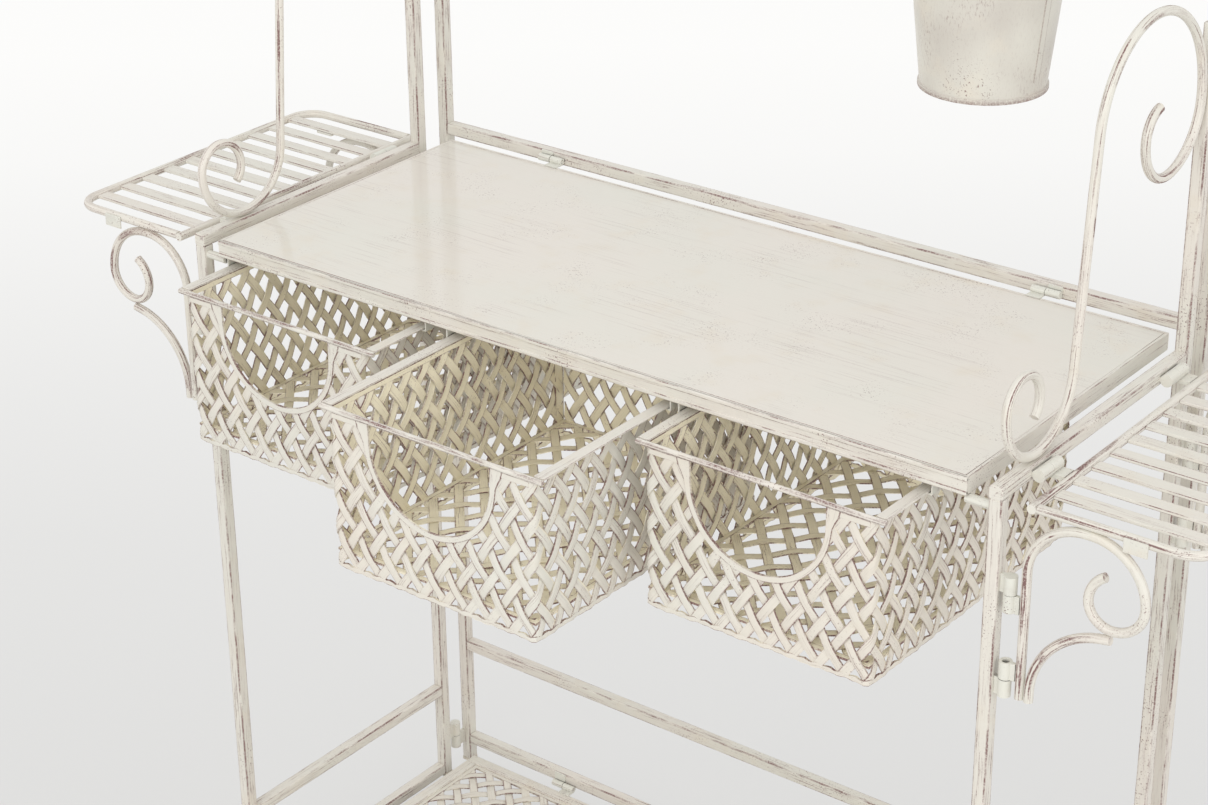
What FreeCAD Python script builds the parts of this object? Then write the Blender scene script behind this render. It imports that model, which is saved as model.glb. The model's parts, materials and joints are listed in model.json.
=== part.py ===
"""Folding iron plant shelf with three basket drawers, built as separate pieces, in millimetres.

The floor is at z = 0, x runs to the right and y to the back. The origin lies under
the middle of the whole piece, with the drawers as far open as the photograph shows them.
"""
import FreeCAD
import Part
import math
import os
import re

import Sketcher

# Driving sizes: name, millimetres, what it measures
SIZES = (
    ("table_width", 800, "table top across its border bars"),
    ("table_depth", 332, "table top from front edge to rear edge"),
    ("table_height", 760, "floor to the top of the table sheet"),
    ("sheet_thick", 1.5, "table sheet"),
    ("border_thick", 3, "table border bars"),
    ("apron_height", 16, "table border bars from top to bottom"),
    ("hem_height", 4, "hems along the front apron's edges"),
    ("hem_proud", 1, "hems stand out from the front apron"),
    ("tube", 12, "square tube outside"),
    ("tube_wall", 1.2, "square tube's wall"),
    ("side_gap", 19, "table edge to the side frame's inner face"),
    ("hinge_gap", 12, "table's rear edge to the back frame's front face"),
    ("post_gap", 28.5, "side frame's rear post to the back post behind it"),
    ("post_step", 3, "back post stands further in than the side frame"),
    ("foot_height", 4, "foot plug under its tube"),
    ("foot_shank", 15, "foot plug inside its tube"),
    ("fit_gap", 0.2, "foot shank to the tube's wall"),
    ("rear_post_rise", 285, "side frame's rear post above the table"),
    ("side_low_rail", 10, "floor to the middle of the side frame's bottom rail"),
    ("side_high_rail", 113, "floor to the middle of the side frame's upper cross rail"),
    ("back_low_rail", 31, "floor to the middle of the back frame's bottom rail"),
    ("back_high_rail", 154, "floor to the middle of the back frame's upper cross rail"),
    ("back_table_rail", 4, "table sheet up to the middle of the rail behind it"),
    ("hang_rail_rise", 328, "table sheet up to the middle of the hanging rail"),
    ("back_post_rise", 430, "back posts above the table"),
    ("arch_rise", 190, "arch above the back posts"),
    ("arch_shoulder", 120, "bend radius at the arch's shoulders"),
    ("arch_rod", 10, "arch rod's diameter"),
    ("wire", 8, "scroll, bracket and shelf wire's diameter"),
    ("weld_gap", 0.1, "round wire to the piece that it is welded to"),
    ("rest_gap", 0.3, "a resting piece above what carries it"),
    ("scroll_foot", 60, "frame's front to where its scroll stands on the rail"),
    ("scroll_height", 313, "scroll's top above its foot, on the wire's middle"),
    ("scroll_foot_bend", 54, "bend radius above the scroll's foot"),
    ("scroll_top_bend", 81, "bend radius below the scroll's top"),
    ("knuckle", 11, "bracket and corner knuckles' diameter"),
    ("knuckle_length", 15.5, "bracket, corner and shelf knuckles' length"),
    ("knuckle_web", 4, "web that joins a knuckle to its tube or wire"),
    ("knuckle_reach", 3, "knuckle's side to the leg's face"),
    ("knuckle_gap", 0.4, "between two knuckles on one pin, and beside a turning one"),
    ("pin", 6, "pins of the bracket, corner and shelf hinges"),
    ("pin_clear", 0.05, "pin to its bore, all round"),
    ("pin_end", 4, "a pin stops short of its knuckle's end"),
    ("corner_low", 26, "floor to the lower corner hinge"),
    ("corner_high", 640, "floor to the upper corner hinge"),
    ("peg_hold", 3, "a rest peg reaches this far under the border"),
    ("small_knuckle", 7.2, "table and lower shelf knuckles' diameter"),
    ("small_length", 14, "table and lower shelf knuckles' length"),
    ("small_pin", 3.6, "pins of the table and lower shelf hinges"),
    ("leaf", 1.5, "hinge leaves"),
    ("leaf_reach", 3, "hinge leaf's hold on the border of the table or shelf"),
    ("hinge_inset", 130, "table's end to its hinge"),
    ("place_centre", 6, "centre drawer's middle to the left of the table's middle"),
    ("end_left", 1.5, "left drawer's outer runner to the border"),
    ("gap_left", 23.5, "left drawer's inner runner to the centre drawer's"),
    ("gap_right", 7, "right drawer's inner runner to the centre drawer's"),
    ("end_right", 30, "right drawer's outer runner to the border"),
    ("drawer_width", 218, "centre drawer's box outside its walls"),
    ("drawer_short", 20, "shut drawer's rear wall to the table's rear edge"),
    ("drawer_wall", 150, "height of the drawer's side walls"),
    ("flange", 10, "drawer flange beyond the side wall"),
    ("flange_thick", 1.5, "drawer flange"),
    ("flange_drop", 25, "table sheet down to the flange's top"),
    ("floor_raise", 16, "drawer bottom above the walls' lower edge"),
    ("rod", 5, "drawer front rod's diameter"),
    ("cut_width", 130, "cut-out in the drawer's front, across"),
    ("cut_depth", 80, "cut-out in the drawer's front, down from the rod"),
    ("open_left", 62, "left drawer stands open by this much"),
    ("open_centre", 162, "centre drawer stands open by this much"),
    ("open_right", 58, "right drawer stands open by this much"),
    ("runner_thick", 1.5, "drawer runner's metal"),
    ("runner_hold", 8, "runner's lip under the flange"),
    ("runner_clear", 1.5, "runner's web beside the flange"),
    ("weave_thick", 1.2, "woven sheet"),
    ("weave_strip", 9, "strips of the woven sheet"),
    ("weave_margin", 5, "plain margin round the woven sheet"),
    ("wall_pitch", 24, "gaps in the walls' weave, level"),
    ("wall_rise", 35, "gaps in the walls' weave, upright"),
    ("floor_pitch", 30, "gaps in the bottoms' weave, across"),
    ("floor_rise", 34, "gaps in the bottoms' weave, front to back"),
    ("shelf_pitch", 38, "gaps in the lower shelf's weave, across"),
    ("shelf_rise", 40, "gaps in the lower shelf's weave, front to back"),
    ("shelf_border", 12, "lower shelf's border bars across"),
    ("shelf_border_height", 6, "lower shelf's border bars from top to bottom"),
    ("lower_shelf_top", 22, "floor to the lower shelf's top"),
    ("leaf_gap", 24, "side frame to the side shelf's inner bar, on its middle"),
    ("leaf_span", 143, "side shelf from inner bar to outer bar"),
    ("leaf_drop", 11, "table sheet down to the side shelf's wire"),
    ("leaf_overhang", 22.5, "side shelf's rear wire behind the side frame's rear post"),
    ("leaf_corner", 25, "side shelf's corner radius"),
    ("leaf_hinge_front", 52, "frame's front to the side shelf's first hinge"),
    ("leaf_hinge_rear", 263, "frame's front to the side shelf's second hinge"),
    ("slat", 14, "side shelf's slats across"),
    ("slat_thick", 3, "side shelf's slats"),
    ("tab", 20, "catch tabs along the wire"),
    ("tab_thick", 1.5, "catch tabs"),
    ("tab_drop", 10, "catch tabs below the wire's middle"),
    ("tab_rise", 2, "catch tabs above the wire's middle"),
    ("tab_place", 88, "inner bar to a catch tab's middle"),
    ("bracket_drop", 180, "table sheet down to the bracket's foot"),
    ("bracket_high", 75, "table sheet down to the bracket's upper hinge"),
    ("bracket_low", 182, "table sheet down to the bracket's lower hinge"),
    ("bracket_bend", 48, "bend radius at the bracket's top"),
    ("bracket_flat", 4, "straight run along the bracket's top"),
    ("bracket_nose", 48, "bend radius at the bracket's nose"),
    ("brace_bend", 70, "bend radius of the bracket's brace"),
    ("bucket_inset", 181, "right back post to the bucket's middle"),
    ("bucket_height", 135, "bucket from bottom edge to rim"),
    ("bucket_top", 134, "bucket's mouth across, without its hem"),
    ("bucket_bottom", 105, "bucket's foot across, without its hem"),
    ("bucket_wall", 1.2, "bucket's sheet"),
    ("bucket_hem", 2, "bucket's hems stand out from the sheet"),
    ("bucket_floor", 4, "bucket's floor above its bottom edge"),
    ("bucket_hang", 12, "bucket's rim above the hanging rail's middle"),
    ("strap", 20, "hook strap across"),
    ("strap_thick", 2, "hook strap"),
    ("strap_clear", 0.3, "hook strap to the rail"),
    ("strap_drop", 17, "hook strap down behind and before the rail"),
)

# Shapes of the curled ends: bend radius as a share of the named size, and turn in degrees
SCROLL_LEAN = 85.5
SCROLL_TOP_SHARES = ((0.592, 90), (0.439, 90), (0.268, 80))
SCROLL_FOOT_SHARES = ((0.835, 90), (0.407, 90), (0.438, 90), (0.334, 50))
BRACKET_NOSE_SHARES = ((0.545, 90), (0.440, 90), (0.540, 60))
BRACE_TURN = 80
SLAT_COUNT = 10
SIDES = (("left", -1), ("right", 1))

ALIASES = {name for name, size, meaning in SIZES}
ALONG = {
    "x": FreeCAD.Vector(1, 0, 0),
    "y": FreeCAD.Vector(0, 1, 0),
    "z": FreeCAD.Vector(0, 0, 1),
}

# Places that several pieces share, as formulas of the driving sizes
BACK_REAR = "(table_depth + hinge_gap + tube)"
FRONT = f"((open_centre - {BACK_REAR} - strap_clear - strap_thick) / 2)"
REAR = f"({FRONT} + table_depth)"
LEG_Y = f"({FRONT} + tube / 2)"
BACK_Y = f"({REAR} + hinge_gap + tube / 2)"
POST_Y = f"({BACK_Y} - tube - post_gap)"
SIDE_X = "(table_width / 2 + side_gap + tube / 2)"
BACK_X = f"({SIDE_X} - post_step)"
CORNER_Y = f"(({POST_Y} + {BACK_Y}) / 2)"
RAIL_Z = "(table_height - tube / 2)"
BAR_X = f"({SIDE_X} + tube / 2 + leaf_gap)"
OUTER_X = f"({BAR_X} + leaf_span)"
LEAF_Z = "(table_height - leaf_drop)"
LEAF_DEPTH = f"({POST_Y} + leaf_overhang - {LEG_Y})"
LEAF_PIN_X = f"({SIDE_X} + tube / 2 + knuckle / 2 + knuckle_gap)"
BRACKET_PIN_X = f"({SIDE_X} + tube / 2 + knuckle_reach + knuckle / 2)"
BRACKET_X = f"({BRACKET_PIN_X} + knuckle / 2 + knuckle_web + wire / 2)"
BRACKET_TOP = f"({LEAF_Z} - wire - rest_gap)"
HINGE_Y = f"({REAR} + hinge_gap - (small_knuckle + leaf) / 2)"
HINGE_X = "(table_width / 2 - hinge_inset)"
FLANGE_TOP = "(table_height - flange_drop)"
WALL_TOP = f"({FLANGE_TOP} - flange_thick)"
WALL_BOTTOM = f"({WALL_TOP} - drawer_wall)"
RUNNER = "(runner_clear + runner_thick)"
BAY_END = f"(table_width / 2 - border_thick - {RUNNER})"
CENTRE_EDGES = ("(0 - place_centre - drawer_width / 2 - flange)", "(drawer_width / 2 + flange - place_centre)")
# Outer edges of each drawer's flanges: the outer drawers fill the bays beside the centre one
DRAWER_EDGES = {
    "left": (f"(end_left - {BAY_END})", f"({CENTRE_EDGES[0]} - 2 * {RUNNER} - gap_left)"),
    "centre": CENTRE_EDGES,
    "right": (f"({CENTRE_EDGES[1]} + 2 * {RUNNER} + gap_right)", f"({BAY_END} - end_right)"),
}
HANG_Z = "(table_height + hang_rail_rise)"
BUCKET_RIM = f"({HANG_Z} + bucket_hang)"
BUCKET_X = f"({BACK_X} - bucket_inset)"
BUCKET_Y = (f"({BACK_Y} - tube / 2 - strap_clear - strap_thick - weld_gap"
            " - bucket_hem - bucket_top / 2)")

doc = FreeCAD.newDocument("plant_shelf")
sheet = doc.addObject("Spreadsheet::Sheet", "Sizes")
for row, (name, size, meaning) in enumerate(SIZES, start=1):
    sheet.set(f"A{row}", meaning)
    sheet.set(f"B{row}", str(size))
    sheet.setAlias(f"B{row}", name)
doc.recompute()

nodes = []


def formula(text):
    """Put the sheet's name before every size in a formula."""
    return re.sub(r"[a-z][a-z_]*", lambda word: f"Sizes.{word[0]}" if word[0] in ALIASES else word[0], text)


def value(text):
    """Work out a formula in millimetres."""
    return float(sheet.evalExpression(formula(text)))


def point(x, y, z):
    """A point whose three places are formulas."""
    return FreeCAD.Vector(value(x), value(y), value(z))


def bind_place(item, x, y, z):
    """Tie an object's place to three formulas."""
    for axis, place in zip("xyz", (x, y, z)):
        item.setExpression(f"Placement.Base.{axis}", formula(place))


def node(label, item):
    """Keep an object as a finished sub-part under its own label."""
    item.Label = label
    nodes.append(item)
    return item


def block(name, middle, size):
    """A block from its middle and its three sides."""
    item = doc.addObject("Part::Box", name)
    for side, length in zip(("Length", "Width", "Height"), size):
        item.setExpression(side, formula(length))
    bind_place(item, *(f"{place} - ({length}) / 2" for place, length in zip(middle, size)))
    return item


def round_rod(name, middle, diameter, length, axis):
    """A straight round rod from its middle."""
    item = doc.addObject("Part::Cylinder", name)
    item.setExpression("Radius", formula(f"({diameter}) / 2"))
    item.setExpression("Height", formula(length))
    item.Placement = FreeCAD.Placement(FreeCAD.Vector(), FreeCAD.Rotation(ALONG["z"], ALONG[axis]))
    bind_place(item, *(f"{place} - ({length}) / 2" if key == axis else place
                       for key, place in zip("xyz", middle)))
    return item


def joined(name, items):
    """Pieces welded into one solid."""
    item = doc.addObject("Part::MultiFuse", name)
    item.Shapes = items
    return item


def cut(name, base, tool):
    """One solid less another."""
    item = doc.addObject("Part::Cut", name)
    item.Base = base
    item.Tool = tool
    return item


def group(label, items):
    """Separate solids that share one sub-part."""
    item = doc.addObject("Part::Compound", label)
    item.Links = items
    return node(label, item)


def square_tube(name, middle, length, axis, shut=0):
    """A square tube from its middle, with the end that shut points to closed."""
    sides = {key: "tube" for key in "xyz"}
    hollow = {key: "tube - 2 * tube_wall" for key in "xyz"}
    sides[axis] = length
    hollow[axis] = f"({length}) - {abs(shut)} * tube_wall"
    inner = {key: place for key, place in zip("xyz", middle)}
    inner[axis] = f"{inner[axis]} - {shut} * tube_wall / 2"
    outside = block(f"{name}_outside", middle, tuple(sides.values()))
    inside = block(f"{name}_inside", tuple(inner.values()), tuple(hollow.values()))
    return cut(name, outside, inside)


def feature(name, shape):
    """A shape made in code, as an object of the document."""
    item = doc.addObject("Part::Feature", name)
    item.Shape = shape
    return item


def profile_body(name, outline):
    """A body with one closed sketch, whose corners are tied to formulas."""
    body = doc.addObject("PartDesign::Body", name)
    plane = next(part for part in body.Origin.OriginFeatures if part.Role == "XY_Plane")
    sketch = body.newObject("Sketcher::SketchObject", f"{name}_sketch")
    sketch.AttachmentSupport = [(plane, "")]
    sketch.MapMode = "FlatFace"
    corners = [FreeCAD.Vector(value(u), value(v), 0) for u, v in outline]
    for here, there in zip(corners, corners[1:] + corners[:1]):
        sketch.addGeometry(Part.LineSegment(here, there), False)
    count = len(outline)
    for index, (u, v) in enumerate(outline):
        sketch.addConstraint(Sketcher.Constraint("Coincident", index - 1 if index else count - 1, 2, index, 1))
        for kind, place in (("DistanceX", u), ("DistanceY", v)):
            number = sketch.addConstraint(Sketcher.Constraint(kind, -1, 1, index, 1, value(place)))
            sketch.setExpression(f"Constraints[{number}]", formula(place))
    return body, sketch


def profile_bar(name, outline, length, turn):
    """A bar of one cross-section, turned to lie along its run."""
    body, sketch = profile_body(name, outline)
    pad = body.newObject("PartDesign::Pad", f"{name}_pad")
    pad.Profile = sketch
    pad.setExpression("Length", formula(length))
    body.Placement = FreeCAD.Placement(FreeCAD.Vector(), turn)
    return body


ALONG_X = FreeCAD.Rotation(FreeCAD.Vector(1, 1, 1), 120)
ALONG_Y = FreeCAD.Rotation(FreeCAD.Vector(1, 0, 0), 90)


def chain(start, heading, moves):
    """Straight runs and arcs one after another, as points and headings in a plane.

    A move is (length, 0) for a run, or (radius, turn) for an arc that turns clockwise
    by that many degrees, or the other way where the turn is negative.
    """
    legs = []
    here = start
    for size, turn in moves:
        if not turn:
            there = (here[0] + size * math.cos(heading), here[1] + size * math.sin(heading))
            legs.append((here, None, there))
        else:
            side = math.copysign(math.pi / 2, turn)
            centre = (here[0] + size * math.cos(heading - side), here[1] + size * math.sin(heading - side))
            angles = [heading + side - math.radians(turn) * part for part in (0.5, 1)]
            middle, there = [(centre[0] + size * math.cos(angle), centre[1] + size * math.sin(angle))
                             for angle in angles]
            legs.append((here, middle, there))
            heading -= math.radians(turn)
        here = there
    return legs


def reversed_chain(legs):
    """The same path from its other end."""
    return [(there, middle, here) for here, middle, there in reversed(legs)]


def bent_wire(legs, place, diameter):
    """A round wire along a flat path, with place turning a pair of lengths into a point."""
    edges = []
    for here, middle, there in legs:
        if middle is None:
            edges.append(Part.LineSegment(place(*here), place(*there)).toShape())
        else:
            edges.append(Part.Arc(place(*here), place(*middle), place(*there)).toShape())
    path = Part.Wire(edges)
    first = edges[0]
    ring = Part.makeCircle(diameter / 2, first.valueAt(first.FirstParameter), first.tangentAt(first.FirstParameter))
    solid = path.makePipeShell([Part.Wire([ring])], True, False)
    share = solid.Volume / (path.Length * math.pi * diameter ** 2 / 4)
    print(f"bent wire {path.Length:.0f} mm long, volume {share:.4f} of its section times its length")
    return solid


def mirrored(shape, sign):
    """The right-hand shape, or its left-hand copy where sign is -1."""
    return shape if sign > 0 else shape.mirror(FreeCAD.Vector(), ALONG["x"])


def woven_sheet(width, height, pitch, rise, notch=False):
    """A flat woven sheet with the gaps between its strips, standing on its lower left corner."""
    wide, high, level, upright = value(width), value(height), value(pitch), value(rise)
    strip, margin = value("weave_strip"), value("weave_margin")
    half_cut, cut_straight = value("cut_width / 2"), value("cut_depth - cut_width / 2")
    lean = math.atan2(upright, level)
    half_gap = (level - strip / math.sin(lean)) / 2
    half_rise = (upright - strip / math.cos(lean)) / 2

    def clear_of_cut(u, v):
        across, down = abs(u - wide / 2), high - cut_straight - v
        reach = half_cut + margin
        return across >= reach if down <= 0 else math.hypot(across, down) >= reach

    gaps = []
    columns, rows = int(wide / level) + 1, int(high / upright) + 1
    for column in range(-columns, columns + 1):
        for row in range(-rows, rows + 1):
            if (column + row) % 2:
                continue
            u, v = wide / 2 + column * level / 2, high / 2 + row * upright / 2
            corners = ((u - half_gap, v), (u, v - half_rise), (u + half_gap, v), (u, v + half_rise))
            if not margin <= u - half_gap <= u + half_gap <= wide - margin:
                continue
            if not margin <= v - half_rise <= v + half_rise <= high - margin:
                continue
            if notch and not all(clear_of_cut(*corner) for corner in corners):
                continue
            gaps.append(Part.makePolygon([FreeCAD.Vector(*corner, 0) for corner in corners + corners[:1]]))

    if notch:
        left, right = wide / 2 - half_cut, wide / 2 + half_cut
        turn_height = high - cut_straight
        path = [(0, 0), (wide, 0), (wide, high), (right, high), (right, turn_height)]
        back = [(left, turn_height), (left, high), (0, high), (0, 0)]
        lowest = FreeCAD.Vector(wide / 2, turn_height - half_cut, 0)
        edges = Part.makePolygon([FreeCAD.Vector(*spot, 0) for spot in path]).Edges
        edges.append(Part.Arc(FreeCAD.Vector(*path[-1], 0), lowest, FreeCAD.Vector(*back[0], 0)).toShape())
        edges += Part.makePolygon([FreeCAD.Vector(*spot, 0) for spot in back]).Edges
        outline = Part.Wire(edges)
    else:
        outline = Part.makePolygon([FreeCAD.Vector(*spot, 0)
                                    for spot in ((0, 0), (wide, 0), (wide, high), (0, high), (0, 0))])
    face = Part.makeFace([outline] + gaps, "Part::FaceMakerBullseye")
    return face.extrude(FreeCAD.Vector(0, 0, value("weave_thick")))


def placed_sheet(name, shape, corner, turn):
    """A woven sheet with its lower left corner at a point, turned to stand in its plane."""
    item = feature(name, shape)
    item.Placement = FreeCAD.Placement(corner, turn)
    return item


def pinned_knuckle(name, middle, axis, pin_way, web_middle, web_size):
    """A solid knuckle with its web, and its pin standing out of one end."""
    reach = "(knuckle_gap + knuckle_length - pin_end)"
    barrel = round_rod(f"{name}_barrel", middle, "knuckle", "knuckle_length", axis)
    web = block(f"{name}_web", web_middle, web_size)
    pin_middle = tuple(f"{place} + {pin_way} * (knuckle_length + {reach}) / 2" if key == axis else place
                       for key, place in zip("xyz", middle))
    pin = round_rod(f"{name}_pin", pin_middle, "pin", reach, axis)
    return joined(name, [barrel, web, pin])


def bored_knuckle(name, middle, axis, web_middle, web_size):
    """A knuckle with its web and a bore for the pin."""
    barrel = round_rod(f"{name}_barrel", middle, "knuckle", "knuckle_length", axis)
    web = block(f"{name}_web", web_middle, web_size)
    bore = round_rod(f"{name}_bore", middle, "pin + 2 * pin_clear", "knuckle_length", axis)
    return cut(name, joined(f"{name}_body", [barrel, web]), bore)


def leaf_hinge(name, x, leaf_top, rail_top, way):
    """Knuckles of a lifting top: one on the top's rear edge, one with the pin on the rail behind."""
    pin_z = f"({leaf_top} + small_knuckle / 2)"
    step = "(small_length + knuckle_gap)"
    moving_x, fixed_x = x, f"({x} + {way} * {step})"
    barrel = round_rod(f"{name}_barrel", (moving_x, HINGE_Y, pin_z), "small_knuckle", "small_length", "x")
    reach = f"(leaf_reach + {HINGE_Y} - {REAR})"
    leaf = block(f"{name}_leaf", (moving_x, f"{HINGE_Y} - {reach} / 2", f"{leaf_top} + leaf / 2"),
                 ("small_length", reach, "leaf"))
    bore = round_rod(f"{name}_bore", (moving_x, HINGE_Y, pin_z), "small_pin + 2 * pin_clear", "small_length", "x")
    moving = cut(f"{name}_moving", joined(f"{name}_moving_body", [barrel, leaf]), bore)

    fixed_barrel = round_rod(f"{name}_fixed_barrel", (fixed_x, HINGE_Y, pin_z),
                             "small_knuckle", "small_length", "x")
    leaf_height = f"({rail_top} - {pin_z})"
    fixed_leaf = block(f"{name}_fixed_leaf",
                       (fixed_x, f"{REAR} + hinge_gap - leaf / 2", f"{pin_z} + {leaf_height} / 2"),
                       ("small_length", "leaf", leaf_height))
    pin_reach = "(knuckle_gap + small_length)"
    pin = round_rod(f"{name}_pin", (f"{fixed_x} - {way} * (small_length + {pin_reach}) / 2", HINGE_Y, pin_z),
                    "small_pin", pin_reach, "x")
    return moving, joined(f"{name}_fixed", [fixed_barrel, fixed_leaf, pin])


def feet(label, spots):
    """Plugs in the open lower ends of the tubes at these spots."""
    plugs = []
    inside = "tube - 2 * tube_wall - 2 * fit_gap"
    for number, (x, y) in enumerate(spots, start=1):
        base = block(f"{label}_base_{number}", (x, y, "foot_height / 2"), ("tube", "tube", "foot_height"))
        shank = block(f"{label}_shank_{number}", (x, y, "foot_height + foot_shank / 2"),
                      (inside, inside, "foot_shank"))
        plugs.append(joined(f"{label}_{number}", [base, shank]))
    return group(label, plugs)


def upright(name, x, y, top, shut):
    """A standing tube on its foot plug."""
    length = f"({top} - foot_height)"
    return square_tube(name, (x, y, f"foot_height + {length} / 2"), length, "z", shut)


# Back frame
back_top = "(table_height + back_post_rise)"
for side, sign in SIDES:
    node(f"back_post_{side}", upright(f"back_post_{side}", f"{sign} * {BACK_X}", BACK_Y, back_top, 1))
rail_length = f"(2 * {BACK_X} - tube)"
cross_rails = [square_tube(f"back_cross_rail_{number}", ("0", BACK_Y, height), rail_length, "x")
               for number, height in enumerate(("back_low_rail", "back_high_rail"), start=1)]
group("back_cross_rails", cross_rails)
table_rail_z = "(table_height + back_table_rail)"
node("back_table_rail", square_tube("back_table_rail", ("0", BACK_Y, table_rail_z), rail_length, "x"))
node("back_hanging_rail", square_tube("back_hanging_rail", ("0", BACK_Y, HANG_Z), rail_length, "x"))
feet("back_feet", [(f"{sign} * {BACK_X}", BACK_Y) for side, sign in SIDES])


def arch():
    """The rod over the back posts: two round shoulders and one long bow between them."""
    half, shoulder, rise = value(BACK_X), value("arch_shoulder"), value("arch_rise")
    inset = half - shoulder
    bow = (inset ** 2 + rise ** 2 - shoulder ** 2) / (2 * (rise - shoulder))
    turn = math.degrees(math.acos(inset / (bow - shoulder)))
    legs = chain((-half, value(back_top)), math.pi / 2,
                 ((shoulder, turn), (bow, 2 * (90 - turn)), (shoulder, turn)))
    back_y = value(BACK_Y)
    return bent_wire(legs, lambda x, z: FreeCAD.Vector(x, back_y, z), value("arch_rod"))


node("back_arch", feature("back_arch", arch()))

# Hinges of the table top and the lower shelf
table_knuckles, shelf_knuckles, back_knuckles = [], [], []
for side, sign in SIDES:
    moving, fixed = leaf_hinge(f"table_hinge_{side}", f"{sign} * {HINGE_X}", "table_height",
                               f"({table_rail_z} + tube / 2)", sign)
    table_knuckles.append(moving)
    back_knuckles.append(fixed)
    moving, fixed = leaf_hinge(f"shelf_hinge_{side}", f"{sign} * {HINGE_X}", "lower_shelf_top",
                               "(back_low_rail + tube / 2)", sign)
    shelf_knuckles.append(moving)
    back_knuckles.append(fixed)
for side, sign in SIDES:
    for number, low in enumerate(("corner_low", "corner_high"), start=1):
        back_face = f"({BACK_Y} - tube / 2)"
        z = f"({low} + knuckle_length / 2)"
        back_knuckles.append(bored_knuckle(
            f"corner_{side}_{number}", (f"{sign} * {SIDE_X}", CORNER_Y, z), "z",
            (f"{sign} * {SIDE_X}", f"({back_face} + {CORNER_Y}) / 2", z),
            ("knuckle_web", f"{back_face} - {CORNER_Y}", "knuckle_length")))
group("back_knuckles", back_knuckles)

# Side frames
leg_top = "(table_height - tube)"
post_top = "(table_height + rear_post_rise)"
run_length = f"({POST_Y} - {LEG_Y} - tube)"
run_y = f"(({POST_Y} + {LEG_Y}) / 2)"
top_rail_length = f"({POST_Y} - tube / 2 - {FRONT})"
lower_shelf_bottom = "(lower_shelf_top - shelf_border_height)"


def scroll():
    """The S-scroll of the right side frame, from its inner lower curl to its inner upper curl."""
    height, foot_bend, top_bend = value("scroll_height"), value("scroll_foot_bend"), value("scroll_top_bend")
    lean = math.radians(SCROLL_LEAN)
    rise_share = 1 - math.cos(lean)
    stem = (height - (foot_bend + top_bend) * rise_share) / math.sin(lean)
    foot = (value(f"{FRONT} + scroll_foot"), value("table_height + wire / 2 + weld_gap"))
    top_y = foot[0] + (foot_bend + top_bend) * math.sin(lean) + stem * math.cos(lean)
    shoulder = value(f"{POST_Y} - tube / 2 - wire / 2 - weld_gap") - top_y
    upper = [(foot_bend, -SCROLL_LEAN), (stem, 0), (top_bend, SCROLL_LEAN), (shoulder, 90)]
    upper += [(share * shoulder, turn) for share, turn in SCROLL_TOP_SHARES]
    lower = [(share * value("scroll_foot"), turn) for share, turn in SCROLL_FOOT_SHARES]
    legs = reversed_chain(chain(foot, math.pi, lower)) + chain(foot, 0, upper)
    side_x = value(SIDE_X)
    return bent_wire(legs, lambda y, z: FreeCAD.Vector(side_x, y, z), value("wire"))


scroll_shape = scroll()
BRACKET_SPOTS = (("front", LEG_Y), ("rear", POST_Y))
UPPER_LEG_KNUCKLE = "(table_height - bracket_high - knuckle_length / 2)"
LOWER_LEG_KNUCKLE = "(table_height - bracket_low + knuckle_length / 2)"
KNUCKLE_STEP = "(knuckle_length + knuckle_gap)"


def side_knuckles(side, sign):
    """Every knuckle and peg welded to one side frame."""
    items = []
    face_x = f"({SIDE_X} + tube / 2)"
    for spot, y in BRACKET_SPOTS:
        for number, (z, way) in enumerate(((UPPER_LEG_KNUCKLE, -1), (LOWER_LEG_KNUCKLE, 1)), start=1):
            items.append(pinned_knuckle(
                f"{side}_{spot}_leg_knuckle_{number}", (f"{sign} * {BRACKET_PIN_X}", y, z), "z", way,
                (f"{sign} * ({face_x} + {BRACKET_PIN_X}) / 2", y, z),
                (f"{BRACKET_PIN_X} - {face_x}", "knuckle_web", "knuckle_length")))
    for number, place in enumerate(("leaf_hinge_front", "leaf_hinge_rear"), start=1):
        y = f"({FRONT} + {place})"
        items.append(pinned_knuckle(
            f"{side}_rail_knuckle_{number}", (f"{sign} * {LEAF_PIN_X}", y, RAIL_Z), "y", 1,
            (f"{sign} * ({face_x} + {LEAF_PIN_X}) / 2", y, RAIL_Z),
            (f"{LEAF_PIN_X} - {face_x}", "knuckle_length", "knuckle_web")))
    for number, low in enumerate(("corner_low", "corner_high"), start=1):
        z = f"({low} + knuckle_length / 2 + {KNUCKLE_STEP})"
        rear = f"({POST_Y} + tube / 2)"
        items.append(pinned_knuckle(
            f"{side}_post_knuckle_{number}", (f"{sign} * {SIDE_X}", CORNER_Y, z), "z", -1,
            (f"{sign} * {SIDE_X}", f"({rear} + {CORNER_Y}) / 2", z),
            ("knuckle_web", f"{CORNER_Y} - {rear}", "knuckle_length")))
    peg_length = f"({SIDE_X} - tube / 2 - table_width / 2 + peg_hold)"
    for number, under in enumerate(("(table_height - apron_height)", lower_shelf_bottom), start=1):
        items.append(round_rod(
            f"{side}_peg_{number}",
            (f"{sign} * ({SIDE_X} - tube / 2 - {peg_length} / 2)", LEG_Y, f"{under} - rest_gap - wire / 2"),
            "wire", peg_length, "x"))
    return items


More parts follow.
